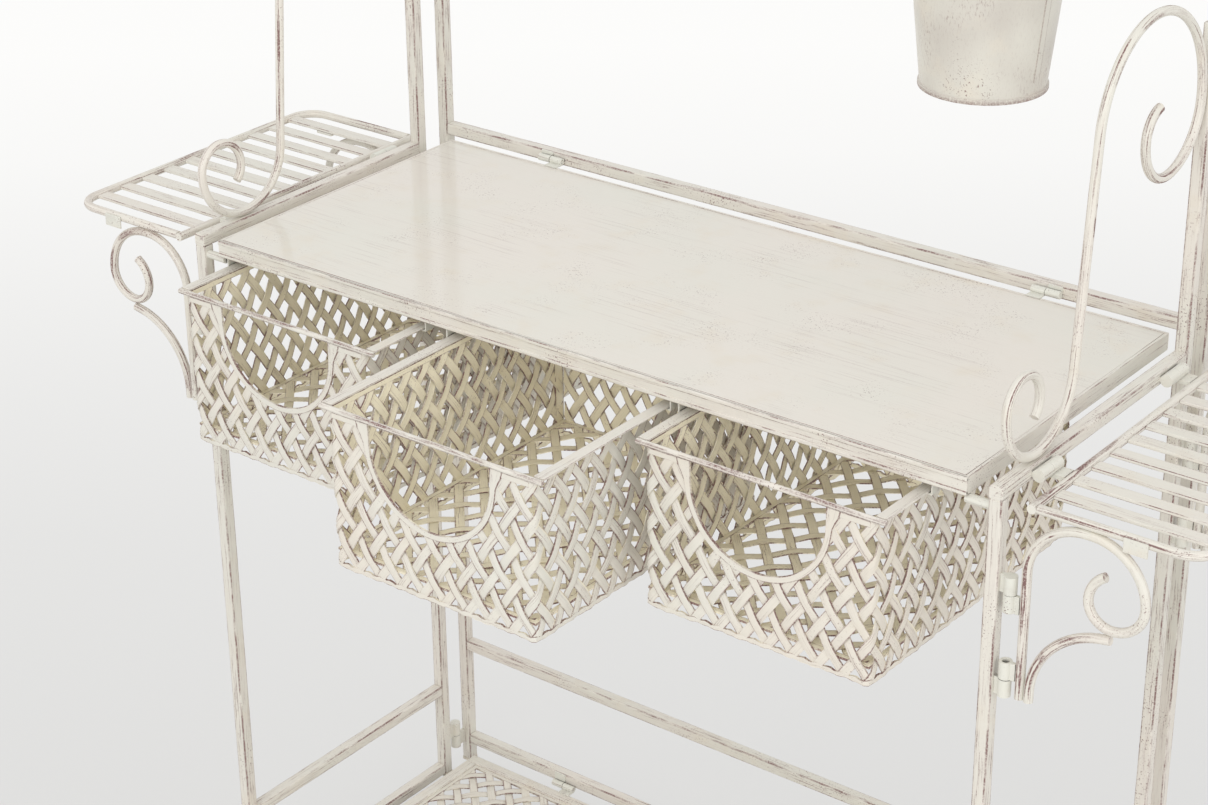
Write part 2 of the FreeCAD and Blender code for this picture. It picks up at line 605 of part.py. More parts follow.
for side, sign in SIDES:
    x = f"{sign} * {SIDE_X}"
    node(f"{side}_front_leg", upright(f"{side}_front_leg", x, LEG_Y, leg_top, 1))
    node(f"{side}_rear_post", upright(f"{side}_rear_post", x, POST_Y, post_top, 1))
    node(f"{side}_top_rail", square_tube(f"{side}_top_rail", (x, f"{FRONT} + {top_rail_length} / 2", RAIL_Z),
                                         top_rail_length, "y", -1))
    group(f"{side}_cross_rails", [square_tube(f"{side}_cross_rail_{number}", (x, run_y, height), run_length, "y")
                                  for number, height in enumerate(("side_low_rail", "side_high_rail"), start=1)])
    node(f"{side}_scroll", feature(f"{side}_scroll", mirrored(scroll_shape, sign)))
    group(f"{side}_knuckles", side_knuckles(side, sign))
    feet(f"{side}_feet", [(x, LEG_Y), (x, POST_Y)])

# Table top
inner_width = "(table_width - 2 * border_thick)"
inner_depth = "(table_depth - 2 * border_thick)"
middle_y = f"({FRONT} + table_depth / 2)"
node("table_sheet", block("table_sheet", ("0", middle_y, "table_height - sheet_thick / 2"),
                          (inner_width, inner_depth, "sheet_thick")))
apron_outline = (
    ("border_thick", "0 - apron_height"), ("border_thick", "0"), ("0 - hem_proud", "0"),
    ("0 - hem_proud", "0 - hem_height"), ("0", "0 - hem_height"), ("0", "hem_height - apron_height"),
    ("0 - hem_proud", "hem_height - apron_height"), ("0 - hem_proud", "0 - apron_height"),
)
apron = profile_bar("table_apron", apron_outline, "table_width", ALONG_X)
bind_place(apron, "0 - table_width / 2", FRONT, "table_height")
border_z = "(table_height - apron_height / 2)"
rear_bar = block("table_rear_bar", ("0", f"{REAR} - border_thick / 2", border_z),
                 ("table_width", "border_thick", "apron_height"))
side_bars = [block(f"table_{side}_bar", (f"{sign} * (table_width - border_thick) / 2", middle_y, border_z),
                   ("border_thick", inner_depth, "apron_height")) for side, sign in SIDES]
group("table_border", [apron, rear_bar] + side_bars)
group("table_knuckles", table_knuckles)

# Drawer runners, an angle bar under each flange
RUNNER_LIP = f"({WALL_TOP} - rest_gap)"
runner_drop = f"(table_height - sheet_thick - {RUNNER_LIP} + runner_thick)"
runner_length = "(table_depth - border_thick - rod - rest_gap)"
runners = []
for drawer, (low_x, high_x) in DRAWER_EDGES.items():
    for side, sign, edge in (("left", -1, low_x), ("right", 1, high_x)):
        web = f"{sign} * runner_clear"
        back = f"{sign} * {RUNNER}"
        lip = f"{-sign} * runner_hold"
        angle_outline = ((web, "0"), (back, "0"), (back, f"0 - {runner_drop}"), (lip, f"0 - {runner_drop}"),
                         (lip, f"runner_thick - {runner_drop}"), (web, f"runner_thick - {runner_drop}"))
        runner = profile_bar(f"runner_{drawer}_{side}", angle_outline, runner_length, ALONG_Y)
        bind_place(runner, edge, f"{REAR} - border_thick", "table_height - sheet_thick")
        runners.append(runner)
group("drawer_runners", runners)

# Drawers, with their woven walls
panel_height = f"({FLANGE_TOP} - rod - {WALL_BOTTOM})"
drawer_depth = "(table_depth - drawer_short)"
wall_length = f"({drawer_depth} - rod / 2 - 1.5 * weave_thick)"
side_sheet = woven_sheet(wall_length, "drawer_wall", "wall_pitch", "wall_rise")
notch_deep, notch_high = value("(rod - weave_thick) / 2 + weld_gap"), value("rod - flange_thick + weld_gap")
rod_notch = Part.makeBox(notch_deep, notch_high, value("weave_thick"),
                         FreeCAD.Vector(0, value("drawer_wall") - notch_high, 0))
side_sheet = side_sheet.cut(rod_notch)

for drawer, (low_x, high_x) in DRAWER_EDGES.items():
    name = f"{drawer}_drawer"
    x = f"(({low_x} + {high_x}) / 2)"
    left_x, right_x = f"({low_x} + flange)", f"({high_x} - flange)"
    width = f"({right_x} - {left_x})"
    rod_front = f"({FRONT} - open_{drawer})"
    rod_y = f"({rod_front} + rod / 2)"
    wall_y = f"({rod_y} + weave_thick / 2)"
    rear_y = f"({rod_front} + {drawer_depth})"
    front_sheet = woven_sheet(width, panel_height, "wall_pitch", "wall_rise", notch=True)
    back_sheet = woven_sheet(width, "drawer_wall", "wall_pitch", "wall_rise")
    floor_sheet = woven_sheet(f"({width} - 2 * weave_thick)", wall_length, "floor_pitch", "floor_rise")
    node(f"{name}_front", placed_sheet(f"{name}_front", front_sheet, point(left_x, wall_y, WALL_BOTTOM), ALONG_Y))
    node(f"{name}_back", placed_sheet(f"{name}_back", back_sheet, point(left_x, rear_y, WALL_BOTTOM), ALONG_Y))
    group(f"{name}_sides", [
        placed_sheet(f"{name}_side_{index}", side_sheet, point(place, wall_y, WALL_BOTTOM), ALONG_X)
        for index, place in enumerate((left_x, f"({right_x} - weave_thick)"), start=1)])
    node(f"{name}_bottom", placed_sheet(
        f"{name}_bottom", floor_sheet,
        point(f"{left_x} + weave_thick", wall_y, f"{WALL_BOTTOM} + floor_raise"), FreeCAD.Rotation()))
    flange_wide = "(flange + weave_thick)"
    flange_long = f"({drawer_depth} - rod)"
    rim = [round_rod(f"{name}_rod", (x, rod_y, f"{FLANGE_TOP} - rod / 2"), "rod", f"{high_x} - {low_x}", "x")]
    rim += [block(f"{name}_flange_{side}",
                  (f"{edge} - {sign} * {flange_wide} / 2",
                   f"{rod_front} + rod + {flange_long} / 2", f"{FLANGE_TOP} - flange_thick / 2"),
                  (flange_wide, flange_long, "flange_thick"))
            for side, sign, edge in (("left", -1, low_x), ("right", 1, high_x))]
    group(f"{name}_rim", rim)

# Lower shelf
shelf_border_z = "(lower_shelf_top - shelf_border_height / 2)"
shelf_inner_width = "(table_width - 2 * shelf_border)"
shelf_inner_depth = "(table_depth - 2 * shelf_border)"
shelf_bars = [block(f"shelf_bar_{end}", ("0", f"{middle_y} + {way} * (table_depth - shelf_border) / 2", shelf_border_z),
                    ("table_width", "shelf_border", "shelf_border_height"))
              for end, way in (("front", -1), ("rear", 1))]
shelf_bars += [block(f"shelf_bar_{side}", (f"{sign} * (table_width - shelf_border) / 2", middle_y, shelf_border_z),
                     ("shelf_border", shelf_inner_depth, "shelf_border_height")) for side, sign in SIDES]
group("lower_shelf_border", shelf_bars)
shelf_sheet = woven_sheet(shelf_inner_width, shelf_inner_depth, "shelf_pitch", "shelf_rise")
node("lower_shelf_weave", placed_sheet(
    "lower_shelf_weave", shelf_sheet,
    point("shelf_border - table_width / 2", f"{FRONT} + shelf_border", f"{shelf_border_z} - weave_thick / 2"),
    FreeCAD.Rotation()))
group("lower_shelf_knuckles", shelf_knuckles)

# Side shelves
leaf_middle = f"({LEG_Y} + {LEAF_DEPTH} / 2)"


def leaf_frame():
    """The bent wire round three sides of the right side shelf, from front to rear."""
    corner = value("leaf_corner")
    run = value(f"{OUTER_X} - {BAR_X} - wire / 2 - weld_gap") - corner
    legs = chain((value(f"{BAR_X} + wire / 2 + weld_gap"), value(LEG_Y)), 0,
                 ((run, 0), (corner, -90), (value(LEAF_DEPTH) - 2 * corner, 0), (corner, -90), (run, 0)))
    leaf_z = value(LEAF_Z)
    return bent_wire(legs, lambda x, y: FreeCAD.Vector(x, y, leaf_z), value("wire"))


leaf_shape = leaf_frame()
slat_length = "(leaf_span - wire - 2 * weld_gap)"
for side, sign in SIDES:
    frame = feature(f"{side}_shelf_wire", mirrored(leaf_shape, sign))
    bar = round_rod(f"{side}_shelf_bar", (f"{sign} * {BAR_X}", leaf_middle, LEAF_Z), "wire",
                    f"{LEAF_DEPTH} + wire", "y")
    group(f"{side}_shelf_frame", [frame, bar])
    group(f"{side}_shelf_slats", [
        block(f"{side}_slat_{number}",
              (f"{sign} * ({BAR_X} + leaf_span / 2)",
               f"{LEG_Y} + {LEAF_DEPTH} * {number} / {SLAT_COUNT + 1}", LEAF_Z),
              (slat_length, "slat", "slat_thick"))
        for number in range(1, SLAT_COUNT + 1)])
    fittings = []
    for number, place in enumerate(("leaf_hinge_front", "leaf_hinge_rear"), start=1):
        y = f"({FRONT} + {place} + {KNUCKLE_STEP})"
        bar_face = f"({BAR_X} - wire / 2 - weld_gap)"
        fittings.append(bored_knuckle(
            f"{side}_shelf_knuckle_{number}", (f"{sign} * {LEAF_PIN_X}", y, RAIL_Z), "y",
            (f"{sign} * ({LEAF_PIN_X} + {bar_face}) / 2", y, LEAF_Z),
            (f"{bar_face} - {LEAF_PIN_X}", "knuckle_length", "knuckle_web")))
    tab_x = f"{sign} * ({BAR_X} + tab_place)"
    fittings.append(block(
        f"{side}_front_catch",
        (tab_x, f"{LEG_Y} - wire / 2 - weld_gap - tab_thick / 2", f"{LEAF_Z} + (tab_rise - tab_drop) / 2"),
        ("tab", "tab_thick", "tab_rise + tab_drop")))
    last_slat = f"({LEG_Y} + {LEAF_DEPTH} * {SLAT_COUNT} / {SLAT_COUNT + 1} - slat / 2)"
    lip_y = f"({POST_Y} + wire / 2 + rest_gap)"
    slat_under = f"({LEAF_Z} - slat_thick / 2)"
    seat_depth = f"({lip_y} + tab_thick - {last_slat})"
    seat_height = f"({slat_under} - {LEAF_Z} + wire / 2)"
    lip_height = f"({slat_under} - {LEAF_Z} + tab_drop)"
    seat = block(f"{side}_rear_seat", (tab_x, f"{last_slat} + {seat_depth} / 2", f"{slat_under} - {seat_height} / 2"),
                 ("tab", seat_depth, seat_height))
    lip = block(f"{side}_rear_lip", (tab_x, f"{lip_y} + tab_thick / 2", f"{slat_under} - {lip_height} / 2"),
                ("tab", "tab_thick", lip_height))
    fittings.append(joined(f"{side}_rear_catch", [seat, lip]))
    group(f"{side}_shelf_knuckles", fittings)


# Scroll brackets
def bracket_wires():
    """The scroll and the brace of a right-hand bracket standing at y = 0."""
    foot_x, foot_z, top_z = value(BRACKET_X), value("table_height - bracket_drop"), value(BRACKET_TOP)
    bend, nose, diameter = value("bracket_bend"), value("bracket_nose"), value("wire")
    moves = [(top_z - foot_z - bend, 0), (bend, 90), (value("bracket_flat"), 0), (nose, 90)]
    moves += [(share * nose, turn) for share, turn in BRACKET_NOSE_SHARES]
    curl_bottom = top_z - nose * (1 + BRACKET_NOSE_SHARES[0][0])
    curl_x = foot_x + bend + value("bracket_flat") + nose * (1 - BRACKET_NOSE_SHARES[0][0])
    brace_x = foot_x + diameter + value("weld_gap")
    brace_bend, brace_turn = value("brace_bend"), math.radians(BRACE_TURN)
    brace_tail = (curl_x - brace_x - brace_bend * (1 - math.cos(brace_turn))) / math.sin(brace_turn)
    brace_top = curl_bottom - (diameter + value("weld_gap")) / math.sin(brace_turn)
    brace_rise = brace_bend * math.sin(brace_turn) + brace_tail * math.cos(brace_turn)
    brace = ((brace_top - foot_z - brace_rise, 0), (brace_bend, BRACE_TURN), (brace_tail, 0))
    return [bent_wire(chain((start, foot_z), math.pi / 2, path), lambda x, z: FreeCAD.Vector(x, 0, z), diameter)
            for start, path in ((foot_x, moves), (brace_x, brace))]


bracket_shapes = bracket_wires()
for side, sign in SIDES:
    for spot, y in BRACKET_SPOTS:
        name = f"{side}_{spot}_bracket"
        wires = []
        for number, shape in enumerate(bracket_shapes, start=1):
            wire = feature(f"{name}_wire_{number}", mirrored(shape, sign))
            bind_place(wire, "0", y, "0")
            wires.append(wire)
        group(f"{name}_scroll", wires)
        wire_face = f"({BRACKET_X} - wire / 2 - weld_gap)"
        knuckles = []
        for number, z in enumerate((f"({UPPER_LEG_KNUCKLE} - {KNUCKLE_STEP})",
                                    f"({LOWER_LEG_KNUCKLE} + {KNUCKLE_STEP})"), start=1):
            knuckles.append(bored_knuckle(
                f"{name}_knuckle_{number}", (f"{sign} * {BRACKET_PIN_X}", y, z), "z",
                (f"{sign} * ({BRACKET_PIN_X} + {wire_face}) / 2", y, z),
                (f"{wire_face} - {BRACKET_PIN_X}", "knuckle_web", "knuckle_length")))
        group(f"{name}_knuckles", knuckles)


# Bucket
def bucket():
    """The bucket's tapered shell, turned round its upright axis."""
    top, bottom = "bucket_top / 2", "bucket_bottom / 2"
    taper = "(bucket_top - bucket_bottom) / 2 / bucket_height"
    floor_low = f"({bottom} + {taper} * bucket_floor)"
    inner_low = f"({floor_low} - bucket_wall)"
    floor_top = "(bucket_floor + bucket_wall)"
    hem = "(2 * bucket_hem)"
    outline = (
        ("bucket_hem", "bucket_floor"), (inner_low, "bucket_floor"), (f"{bottom} - bucket_wall", "bucket_hem / 2"),
        (f"{bottom} + bucket_hem", "bucket_hem / 2"), (f"{bottom} + bucket_hem", f"{hem} + bucket_hem / 2"),
        (f"{bottom} + {taper} * ({hem} + bucket_hem / 2)", f"{hem} + bucket_hem / 2"),
        (f"{top} - {taper} * {hem}", f"bucket_height - {hem}"), (f"{top} + bucket_hem", f"bucket_height - {hem}"),
        (f"{top} + bucket_hem", "bucket_height"), (f"{top} - bucket_wall", "bucket_height"),
        (f"{inner_low} + {taper} * bucket_wall", floor_top), ("bucket_hem", floor_top),
    )
    body, sketch = profile_body("bucket_shell", outline)
    turned = body.newObject("PartDesign::Revolution", "bucket_turned")
    turned.Profile = sketch
    turned.ReferenceAxis = (sketch, ["V_Axis"])
    turned.Angle = 360
    body.Placement = FreeCAD.Placement(FreeCAD.Vector(), ALONG_Y)
    bind_place(body, BUCKET_X, BUCKET_Y, f"{BUCKET_RIM} - bucket_height")
    return body


node("bucket_shell", bucket())
strap_top = f"({HANG_Z} + tube / 2 + strap_clear + strap_thick)"
strap_height = "(strap_drop + strap_thick)"
strap_half = "(tube / 2 + strap_clear + strap_thick / 2)"
strap_pieces = [block("strap_over", (BUCKET_X, BACK_Y, f"{strap_top} - strap_thick / 2"),
                      ("strap", f"2 * {strap_half} + strap_thick", "strap_thick"))]
strap_pieces += [block(f"strap_{end}",
                       (BUCKET_X, f"{BACK_Y} + {way} * {strap_half}", f"{strap_top} - {strap_height} / 2"),
                       ("strap", "strap_thick", strap_height)) for end, way in (("front", -1), ("rear", 1))]
node("bucket_strap", joined("bucket_strap", strap_pieces))

doc.recompute()

# Every object has to be sound before anything is written
failed = [item.Name for item in doc.Objects if "Invalid" in item.State or "Error" in item.State]
if failed:
    raise RuntimeError(f"failed objects: {failed}")
for item in nodes:
    if item.Shape.isNull() or not item.Shape.isValid() or not item.Shape.Solids:
        raise RuntimeError(f"bad shape: {item.Label}")

os.makedirs("parts", exist_ok=True)
for item in nodes:
    item.Shape.exportStep(f"parts/{item.Label}.step")
print(f"{len(nodes)} sub-parts, {sum(len(item.Shape.Solids) for item in nodes)} solids")
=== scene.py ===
"""Looks of a folding iron plant shelf with three basket drawers, in metres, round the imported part.

Square tubes, flat bars and the woven baskets are built here with rounded edges and real
over-and-under strips; wires, hinges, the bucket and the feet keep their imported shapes.
"""
import json
import math

import bmesh
import bpy
from mathutils import Matrix, Vector

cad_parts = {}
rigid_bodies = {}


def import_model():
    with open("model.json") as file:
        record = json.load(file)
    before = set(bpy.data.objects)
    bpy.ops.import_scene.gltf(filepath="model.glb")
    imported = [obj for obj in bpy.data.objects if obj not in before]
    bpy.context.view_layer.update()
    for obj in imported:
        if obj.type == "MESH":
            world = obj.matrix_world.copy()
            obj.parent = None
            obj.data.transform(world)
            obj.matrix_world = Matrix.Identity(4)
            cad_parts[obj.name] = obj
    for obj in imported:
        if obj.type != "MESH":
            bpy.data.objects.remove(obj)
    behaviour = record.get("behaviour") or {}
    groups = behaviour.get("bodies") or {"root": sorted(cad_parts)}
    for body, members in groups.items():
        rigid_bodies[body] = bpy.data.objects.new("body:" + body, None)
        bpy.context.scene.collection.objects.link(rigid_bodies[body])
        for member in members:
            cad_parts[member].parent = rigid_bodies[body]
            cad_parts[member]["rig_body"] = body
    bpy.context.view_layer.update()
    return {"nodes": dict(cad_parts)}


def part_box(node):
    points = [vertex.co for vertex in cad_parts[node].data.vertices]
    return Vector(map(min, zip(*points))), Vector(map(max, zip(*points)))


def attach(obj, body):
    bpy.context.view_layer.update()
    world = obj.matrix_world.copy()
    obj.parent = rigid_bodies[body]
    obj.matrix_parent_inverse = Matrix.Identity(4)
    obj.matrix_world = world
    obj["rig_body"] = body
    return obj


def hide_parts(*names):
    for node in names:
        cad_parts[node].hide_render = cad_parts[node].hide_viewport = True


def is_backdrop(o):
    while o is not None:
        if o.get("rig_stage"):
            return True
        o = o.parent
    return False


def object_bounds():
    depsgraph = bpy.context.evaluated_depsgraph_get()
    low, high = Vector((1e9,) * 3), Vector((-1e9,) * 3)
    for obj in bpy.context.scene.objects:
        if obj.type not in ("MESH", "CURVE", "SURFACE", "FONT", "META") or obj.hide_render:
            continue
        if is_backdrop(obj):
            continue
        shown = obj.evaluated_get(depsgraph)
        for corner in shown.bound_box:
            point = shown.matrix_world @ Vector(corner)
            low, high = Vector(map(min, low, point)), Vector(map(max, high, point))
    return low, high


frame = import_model()
cad_nodes = frame["nodes"]

# Camera of the photograph
IMAGE_WIDTH = 1208
FOCAL_PIXELS = 2708.95
SENSOR_WIDTH = 36
CAMERA_PLACE = Vector((1.3073, -1.7105, 1.7117))
CAMERA_AZIMUTH = math.radians(37.94)
CAMERA_ELEVATION = math.radians(25.81)
CAMERA_ROLL = math.radians(-0.65)
CLIP_NEAR = 0.05
CLIP_FAR = 60

# Drawer weave
SHEET_THICK = 0.0012
STRIP_WIDTH = 0.0085
STRIP_THICK = 0.0009
STRIP_CROWN = 0.0004
STRIP_LANES = 4
CROWN_MIDDLE = 0.5
EDGE_LANE = 0.5
WAVE_HEIGHT = 0.0010
WAVE_STEPS = 5
WAVE_FADE = 0.009
EDGE_TUCK = 0.002
WALL_PITCH, WALL_RISE = 0.024, 0.035
BOTTOM_PITCH, BOTTOM_RISE = 0.030, 0.034
SHELF_PITCH, SHELF_RISE = 0.026, 0.027
SHELF_STRIP = 0.0088
CORNER_BEND = 0.0035
HEM_HEIGHT = 0.0050
HEM_THICK = 0.0019
RIM_THICK = 0.0022
HEM_STEP = 0.0035
HEM_WAVE = 0.0008
HEM_SWAYS = (0.6, 0.4)
HEM_TURNS = (2, 0.37)
CUT_WIDTH, CUT_DEPTH = 0.130, 0.080
CUT_STEPS = 40
CUT_SIDES = 14
CUT_RIM = 0.0055
CUT_FLARE = 0.0080
CUT_FLARE_HEIGHT = 0.020
SEAM_STRIP = 0.012

# Half of the floor's width
FLOOR_HALF = 14

# Bars and tubes
TUBE_ROUND = 0.0018
BAR_ROUND = 0.0007
THIN_ROUND = 0.0005
SEAM_ROUND = 0.0007
END_CHAMFER = 0.0006
ARC_STEPS = 3
ARC_WEAR = 0.45
EDGE_FADE = 0.0011
HEM_BEAD = 0.0040
APRON_HEM_PROUD = 0.0010
TABLE_BORDER = 0.0030
SHELF_BORDER = 0.0120
CAD_BEVEL = 0.0005
BEVEL_SEGMENTS = 2
WELD_LIMIT = 0.00002
SHARP_ANGLE = math.radians(38)
PIECE_SHIFT = 0.37

# Bucket seam
BUCKET_HEM = 0.002
HEM_ROWS = 5
SHELL_DIGITS = 5
SEAM_AZIMUTH = math.radians(82)
SEAM_HALF = 0.0035
SEAM_PROUD = 0.0006
SEAM_ROWS = 12

DRAWERS = ("left", "centre", "right")
SIDES = ("left", "right")
BRACKETS = tuple(f"{side}_{spot}_bracket" for side in SIDES for spot in ("front", "rear"))


# Input and output numbers of a colour mix node
MIX_FACTOR, MIX_FIRST, MIX_SECOND, MIX_RESULT = 0, 6, 7, 2


class Paint:
    """A material's node tree, with short ways to add and join its nodes."""

    def __init__(self, name):
        self.material = bpy.data.materials.new(name)
        self.material.use_nodes = True
        self.tree = self.material.node_tree
        self.shader = self.tree.nodes["Principled BSDF"]

    def add(self, kind, inputs=(), **settings):
        """A new node with its settings and inputs."""
        node = self.tree.nodes.new(kind)
        for key, value in settings.items():
            setattr(node, key, value)
        for socket, value in dict(inputs).items():
            self.put(node.inputs[socket], value)
        return node

    def put(self, socket, value):
        """Link an input to another node's output, or set its plain value."""
        if isinstance(value, bpy.types.NodeSocket):
            self.tree.links.new(value, socket)
        else:
            socket.default_value = value

    def math(self, operation, first, second=0.0):
        """A sum, product or the like of two values."""
        clamped = operation in ("ADD", "MULTIPLY")
        node = self.add("ShaderNodeMath", operation=operation, use_clamp=clamped)
        self.put(node.inputs[0], first)
        self.put(node.inputs[1], second)
        return node.outputs[0]

    def noise(self, vector, pattern, w=None):
        """A noise of a pattern's scale, detail and roughness; w is a fourth coordinate."""
        scale, detail, roughness = pattern
        node = self.add("ShaderNodeTexNoise", {"Scale": scale, "Detail": detail, "Roughness": roughness},
                        noise_dimensions="3D" if w is None else "4D")
        self.put(node.inputs["Vector"], vector)
        if w is not None:
            self.put(node.inputs["W"], w)
        return node.outputs["Fac"]

    def ramp(self, value, span):
        """A soft step from 0 to 1 between two values."""
        low, high = span
        node = self.add("ShaderNodeMapRange", {"From Min": low, "From Max": high},
                        interpolation_type="SMOOTHSTEP")
        self.put(node.inputs["Value"], value)
        return node.outputs["Result"]

    def between(self, value, span):
        """A value from 0 to 1 spread between two others."""
        low, high = span
        node = self.add("ShaderNodeMapRange", {"To Min": low, "To Max": high})
        self.put(node.inputs["Value"], value)
        return node.outputs["Result"]

    def mix(self, factor, first, second):
        """A blend of two colours."""
        node = self.add("ShaderNodeMix", data_type="RGBA")
        self.put(node.inputs[MIX_FACTOR], factor)
        self.put(node.inputs[MIX_FIRST], first)
        self.put(node.inputs[MIX_SECOND], second)
        return node.outputs[MIX_RESULT]

    def stretched(self, vector, scales):
        """Coordinates with a scale of their own on each axis."""
        node = self.add("ShaderNodeMapping", {"Scale": scales})
        self.put(node.inputs["Vector"], vector)
        return node.outputs["Vector"]

    def bumped(self, height, strength, distance):
        """A normal that follows a height pattern."""
        node = self.add("ShaderNodeBump", {"Height": height, "Strength": strength, "Distance": distance})
        return node.outputs["Normal"]

    def finish(self, colour, roughness, normal):
        """The material, with its shader's colour, roughness and normal."""
        self.put(self.shader.inputs["Base Color"], colour)
        self.put(self.shader.inputs["Roughness"], roughness)
        self.put(self.shader.inputs["Normal"], normal)
        return self.material


# Paint colours, as they look under plain light
CREAM = (0.760, 0.715, 0.645, 1)
CREAM_COOL = (0.735, 0.715, 0.640, 1)
CREAM_WARM = (0.735, 0.670, 0.560, 1)
# Cream of the weave, warmer and a little darker than the bars' cream: painted warm shade of the basket
# walls
CREAM_WEAVE_SHADE = (0.750, 0.698, 0.612, 1)
# Khaki of the baskets' inner side: painted warm bounce light in their shade
KHAKI_BOUNCE = (0.880, 0.815, 0.630, 1)
MINT = (0.735, 0.735, 0.660, 1)
TIN = (0.530, 0.490, 0.440, 1)
BROWN = (0.215, 0.120, 0.110, 1)
BROWN_SOFT = (0.430, 0.305, 0.270, 1)
# Near black of the painted shade in bores and narrow gaps
BORE_SHADE = (0.050, 0.036, 0.030, 1)
PLASTIC = (0.560, 0.520, 0.440, 1)

# Paint patterns: scale, detail and roughness of a noise, and turns to a metre where it is stretched
STRETCHES = {"bar": (26, 760, 1), "bar_patch": (7, 120, 1), "bar_edge": (22, 160, 1), "flat": (9, 420, 420),
             "drop": (900, 900, 210)}
STREAK_NOISE = (1.0, 5.0, 0.62)
DROP_NOISE = (1.0, 4.0, 0.7)
WIRE_NOISE = (22.0, 4.0, 0.6)
WIRE_TURN = 0.22
PATCH_NOISE = (11.0, 3.0, 0.55)
BAR_PATCH_NOISE = (1.0, 3.0, 0.6)
WIRE_PATCH_NOISE = (9.0, 3.0, 0.6)
EDGE_NOISE = (1.0, 5.0, 0.65)
GRIT_NOISE = (620.0, 2.0, 0.55)
SPECK_NOISE = (640.0, 1.0, 0.55)
SPECK_PATCH_NOISE = (17.0, 2.0, 0.55)
WASH_NOISE = (5.0, 3.0, 0.55)
STAIN_NOISE = (28.0, 4.0, 0.55)
GLOSS_NOISE = (60.0, 2.0, 0.55)
PEEL_NOISE = (380.0, 2.0, 0.55)

# Paint levels: where a pattern begins and is full, and the least and most that it counts
PATCH_SPAN = (0.46, 0.62)
GRIT_SPAN = (0.36, 0.60)
STREAK_SPAN = 0.06
STREAK_BREAKS = (0.35, 1.0)
STREAK_SHARES = (0.12, 0.95)
SPECK_SPAN = (0.64, 0.70)
SPECK_PATCH_SPAN = (0.46, 0.70)
SPECK_SHARE = 0.9
EDGE_SPAN = (0.42, 0.88)
EDGE_NOISE_SPAN = (0.40, 0.60)
EDGE_BREAKS = (0.45, 1.0)
EDGE_SHARE = 0.62
FOOT_WEAR = 0.006
FOOT_BREAKS = (0.25, 0.8)
WASH_SPAN = (0.35, 0.68)
STAIN_SPAN = (0.50, 0.78)
STAIN_SHARE = 0.55
GLAZE_SPAN = (0.40, 0.66)
GLAZE_SHARES = (0.03, 0.24)
# Reach and levels of the painted shade in bores and narrow gaps
BORE_SHADE_REACH = 0.006
BORE_SHADE_SPAN = (0.52, 0.18)
GLOSS_CHANGES = (-0.05, 0.07)
WORN_ROUGHNESS = 0.22
PEEL_RELIEF, WORN_RELIEF = 0.45, 0.6
PAINT_BUMP, PAINT_RELIEF = 0.16, 0.0006


def scaled(span, factor):
    """Both ends of a span times a factor."""
    return tuple(end * factor for end in span)


def grain(paint, coords, streaks):
    """Brush streaks, the patches they come in, and the run of worn edges."""
    place = coords.outputs["Object"]
    if streaks == "uv":
        girth = coords.outputs["UV"]
        return (paint.noise(paint.stretched(girth, STRETCHES["bar"]), STREAK_NOISE),
                paint.noise(paint.stretched(girth, STRETCHES["bar_patch"]), BAR_PATCH_NOISE),
                paint.stretched(girth, STRETCHES["bar_edge"]))
    if streaks in ("flat", "drop"):
        noise = STREAK_NOISE if streaks == "flat" else DROP_NOISE
        streak = paint.noise(paint.stretched(place, STRETCHES[streaks]), noise)
        return streak, paint.noise(place, PATCH_NOISE), place
    normal = paint.add("ShaderNodeSeparateXYZ", {"Vector": coords.outputs["Normal"]})
    turned = paint.math("MULTIPLY_ADD", normal.outputs[streaks], WIRE_TURN)
    return paint.noise(place, WIRE_NOISE, turned), paint.noise(place, WIRE_PATCH_NOISE, turned), place


